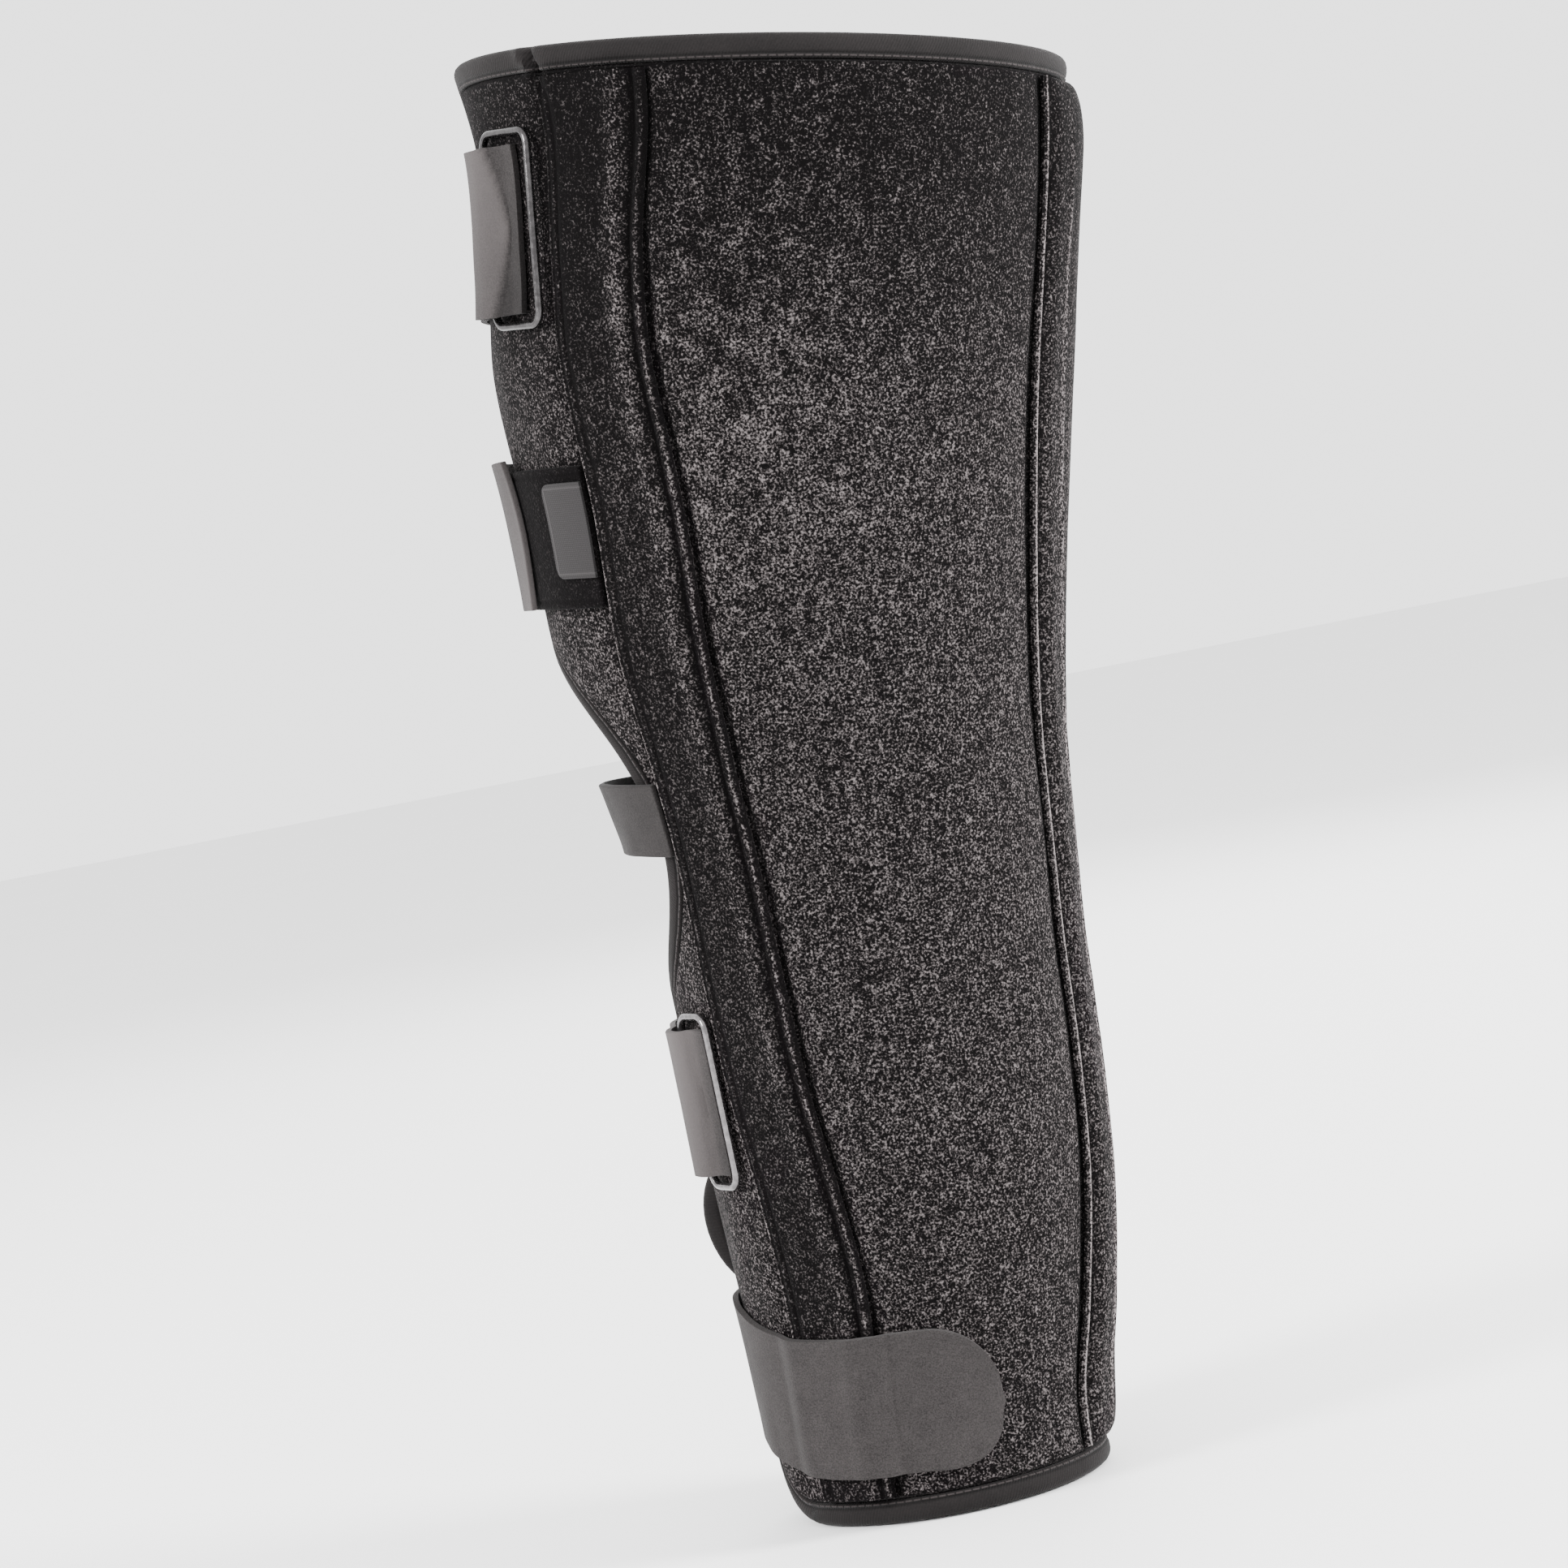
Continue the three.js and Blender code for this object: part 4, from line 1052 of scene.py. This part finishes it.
class IMMOBILIZER_OT_straps(Operator):
    """Lays the five straps across the front"""

    bl_idname = "immobilizer.straps"
    bl_label = "Straps"

    def execute(self, context):
        strap("thigh_strap_cloth", "thigh_strap", THIGH_STRAP, over_bar(*THIGH_BAR, *THIGH_FOLD),
              tone=thigh_painted_light)

        def on_pad(angle, up, side):
            on_top = (LANDING_THICKNESS + CLEARANCE) * ramp(angle, -1, 4)
            return np.maximum(LOWER_THIGH_SLACK(angle), on_top)

        strap("lower_thigh_strap_cloth", "lower_thigh_strap", LOWER_THIGH_STRAP, on_pad,
              tone=lower_thigh_painted_light, swell=2.2)
        # The knee strap is painted darker all over
        strap("knee_strap_cloth", "knee_strap", KNEE_STRAP, lambda angle, up, side: 0.0 * angle,
              tone=lambda angle, side: -0.32)
        strap("calf_strap_cloth", "calf_strap", CALF_STRAP, over_bar(*CALF_BAR, *CALF_FOLD),
              tone=calf_painted_light)
        at, _, tip = ANKLE_STRAP
        tip_arc = arc_at(tip, at)

        def round_end(angle):
            left = np.clip((tip - angle) * tip_arc / ANKLE_TIP_RADIUS, 0, 1)
            return np.maximum(np.sqrt(1 - (1 - left) ** 2), 0.06)

        def ankle_line(angle):
            return ANKLE_LINE(angle) * rim_height(angle)

        # The faint line of painted shade is where the strap bends over the stay band's front seam
        strap("ankle_strap_cloth", "ankle_strap", ANKLE_STRAP, stay_cover, ankle_line, round_end,
              lambda angle, side: -0.10 * bump(angle, 44.0, 3.5))
        return {"FINISHED"}


class IMMOBILIZER_OT_tabs(Operator):
    """Sews on the plush landing pad and the bare label over it"""

    bl_idname = "immobilizer.tabs"
    bl_label = "Landing pad and label"

    def execute(self, context):
        start, end = LANDING_START, near_end(LANDING_AT)
        arc = arc_at(25.0, LANDING_AT)

        def pad_spot(s, t):
            base = start + (end - start) * s
            along, side = (base - start) * arc, (t - 0.5) * LANDING_HEIGHT
            up = level(LANDING_AT)(base) + side
            angle = along_seam(base, up, LANDING_AT, True)
            hem = bump(np.abs(side), LANDING_HEIGHT / 2 - HEM, 1.1) + bump(along, HEM, 1.1)
            hem = np.minimum(hem, 1)
            # The pad is painted darker all over, with painted shade in the hem's dip as well
            return angle, up, CLEARANCE + EASE - 0.35 * hem, along, side, -0.72 - 0.25 * hem

        pad = laid_strip(
            "landing_pad", 46, 36, pad_spot, LANDING_THICKNESS, plush_finish(), edge=0.8)
        settle(pad, "plush", "landing_tab", fill=0.4)
        label_end = near_end(LABEL_AT)
        label_arc = arc_at(label_end, LABEL_AT)

        def label_spot(s, t):
            along = LABEL_LENGTH * s
            base = label_end - (LABEL_LENGTH - along) / label_arc
            side = (2 * t - 1) * (LABEL_HEIGHT / 2 - corner_cut(along, LABEL_CORNER))
            up = level(LABEL_AT)(base) + side
            angle = along_seam(base, up, LABEL_AT, True)
            low = 2 * CLEARANCE + EASE + LANDING_THICKNESS
            return angle, up, low + 0.0 * up, along, side, 0.0

        label = laid_strip(
            "label_cloth_tab", 26, 40, label_spot, LABEL_THICKNESS, label_finish(), edge=0.3)
        settle(label, "label_cloth", "label_tab")
        return {"FINISHED"}


def wire_ring(name, node, place, finish):
    """A closed rectangle of round wire lying flat over the foam."""
    at, angle, tall, length, off_foam = place
    up = at * rim_height(angle)
    centre = on_wrap(angle, up)
    upward = on_wrap(angle, up + tall / 2) - on_wrap(angle, up - tall / 2)
    upward /= np.linalg.norm(upward)
    aside = on_wrap(angle + 1, up) - on_wrap(angle - 1, up)
    outward = np.cross(aside, upward)
    outward /= np.linalg.norm(outward)
    aside = np.cross(upward, outward)
    centre = centre + outward * off_foam
    half_long = (length - WIRE) / 2 - RING_CORNER
    half_tall = (tall - WIRE) / 2 - RING_CORNER
    path = []
    for quarter, (x, y) in enumerate(((1, 1), (-1, 1), (-1, -1), (1, -1))):
        for k in range(9):
            turn = math.pi / 2 * (quarter + k / 8)
            across = x * half_long + RING_CORNER * math.cos(turn)
            along = y * half_tall + RING_CORNER * math.sin(turn)
            path.append(centre + aside * across + upward * along)
    curve = bpy.data.curves.new(name, "CURVE")
    curve.dimensions = "3D"
    curve.bevel_depth = WIRE / 2 / PER_METRE
    curve.bevel_resolution = 4
    spline = curve.splines.new("POLY")
    spline.points.add(len(path) - 1)
    for point, where in zip(spline.points, path):
        point.co = (*(where / PER_METRE), 1.0)
    spline.use_cyclic_u = True
    pick(add_object(name, curve))
    bpy.ops.object.convert(target="MESH")
    piece = bpy.context.object
    bpy.ops.object.mode_set(mode="EDIT")
    bpy.ops.mesh.select_all(action="SELECT")
    bpy.ops.mesh.remove_doubles(threshold=0.00001)
    bpy.ops.mesh.normals_make_consistent(inside=False)
    bpy.ops.object.mode_set(mode="OBJECT")
    bpy.ops.object.shade_smooth()
    piece.data.materials.clear()
    piece.data.materials.append(finish)
    settle(piece, "ring_wire", node)


class IMMOBILIZER_OT_rings(Operator):
    """Bends the two wire rings and lays them over the foam"""

    bl_idname = "immobilizer.rings"
    bl_label = "Wire rings"

    def execute(self, context):
        plated = wire_finish("plated_wire", brightness=1.0)
        bright = wire_finish("bright_wire", brightness=2.6)
        wire_ring("thigh_wire", "thigh_ring", THIGH_RING, plated)
        wire_ring("calf_wire", "calf_ring", CALF_RING, bright)
        return {"FINISHED"}


def soft_lamp(name, place, size, power):
    lamp = bpy.data.lights.new(name, "AREA")
    lamp.shape = "DISK"
    lamp.size = size
    lamp.energy = power
    holder = add_object(name, lamp)
    holder.location = place
    turn = (Vector(LAMP_TARGET) - Vector(place)).to_track_quat("-Z", "Y")
    holder.rotation_euler = turn.to_euler()


class IMMOBILIZER_OT_stage(Operator):
    """Sets the pale floor, the soft lamps and the camera"""

    bl_idname = "immobilizer.stage"
    bl_label = "Stage"

    def execute(self, context):
        bpy.ops.object.select_all(action="DESELECT")
        bpy.ops.mesh.primitive_plane_add(size=14, location=(0, 0, -0.0005))
        floor = context.object
        floor.name = "floor"
        pale = Finish("pale_floor", 0.9)
        grain = pale.noise(3.0)
        pale.set("Base Color", pale.mix((0.79, 0.79, 0.79), (0.81, 0.81, 0.81), grain))
        floor.data.materials.append(pale.material)
        world = bpy.data.worlds.new("studio")
        context.scene.world = world
        world.use_nodes = True
        sky = world.node_tree.nodes["Background"]
        sky.inputs["Color"].default_value = (1, 1, 1, 1)
        sky.inputs["Strength"].default_value = SKY_STRENGTH
        for lamp in LAMPS:
            soft_lamp(*lamp)
        self.camera(context)
        return {"FINISHED"}

    def camera(self, context):
        lens = bpy.data.cameras.new("camera")
        lens.lens = FOCAL_LENGTH
        lens.sensor_width = 36.0
        holder = add_object("camera", lens)
        place = Vector(CAMERA_PLACE)
        back = (place - Vector(CAMERA_TARGET)).normalized()
        right = Vector((1, 0, 0))
        upward = back.cross(right)
        roll = math.radians(CAMERA_ROLL)
        turned = right * math.cos(roll) - upward * math.sin(roll)
        upward = upward * math.cos(roll) + right * math.sin(roll)
        axes = Matrix((turned, upward, back)).transposed()
        holder.matrix_world = Matrix.Translation(place) @ axes.to_4x4()
        context.scene.camera = holder


class IMMOBILIZER_PT_sidebar(Panel):
    """Lists the pieces and the values a user would change"""

    bl_label = "Immobilizer"
    bl_idname = "IMMOBILIZER_PT_sidebar"
    bl_space_type = "VIEW_3D"
    bl_region_type = "UI"
    bl_category = "Immobilizer"

    def draw(self, context):
        for piece in PIECES:
            self.layout.operator(piece.bl_idname)
        for group in (sizes(), colours()):
            for name in group.bl_rna.properties.keys():
                if name not in ("rna_type", "name"):
                    self.layout.prop(group, name)


PIECES = (
    IMMOBILIZER_OT_stage, IMMOBILIZER_OT_panel, IMMOBILIZER_OT_binding,
    IMMOBILIZER_OT_stay_pockets, IMMOBILIZER_OT_back_pocket, IMMOBILIZER_OT_straps,
    IMMOBILIZER_OT_tabs, IMMOBILIZER_OT_rings,
)
CLASSES = (ImmobilizerColours, ImmobilizerSizes, *PIECES, IMMOBILIZER_PT_sidebar)


def register():
    for item in CLASSES:
        bpy.utils.register_class(item)
    bpy.types.Scene.immobilizer_colours = PointerProperty(type=ImmobilizerColours)
    bpy.types.Scene.immobilizer_sizes = PointerProperty(type=ImmobilizerSizes)


def unregister():
    del bpy.types.Scene.immobilizer_sizes
    del bpy.types.Scene.immobilizer_colours
    for item in reversed(CLASSES):
        bpy.utils.unregister_class(item)


def main():
    register()
    bpy.ops.immobilizer.stage()
    bpy.ops.immobilizer.panel()
    bpy.ops.immobilizer.binding()
    bpy.ops.immobilizer.stay_pockets()
    bpy.ops.immobilizer.back_pocket()
    bpy.ops.immobilizer.straps()
    bpy.ops.immobilizer.tabs()
    bpy.ops.immobilizer.rings()


if __name__ == "__main__":
    main()
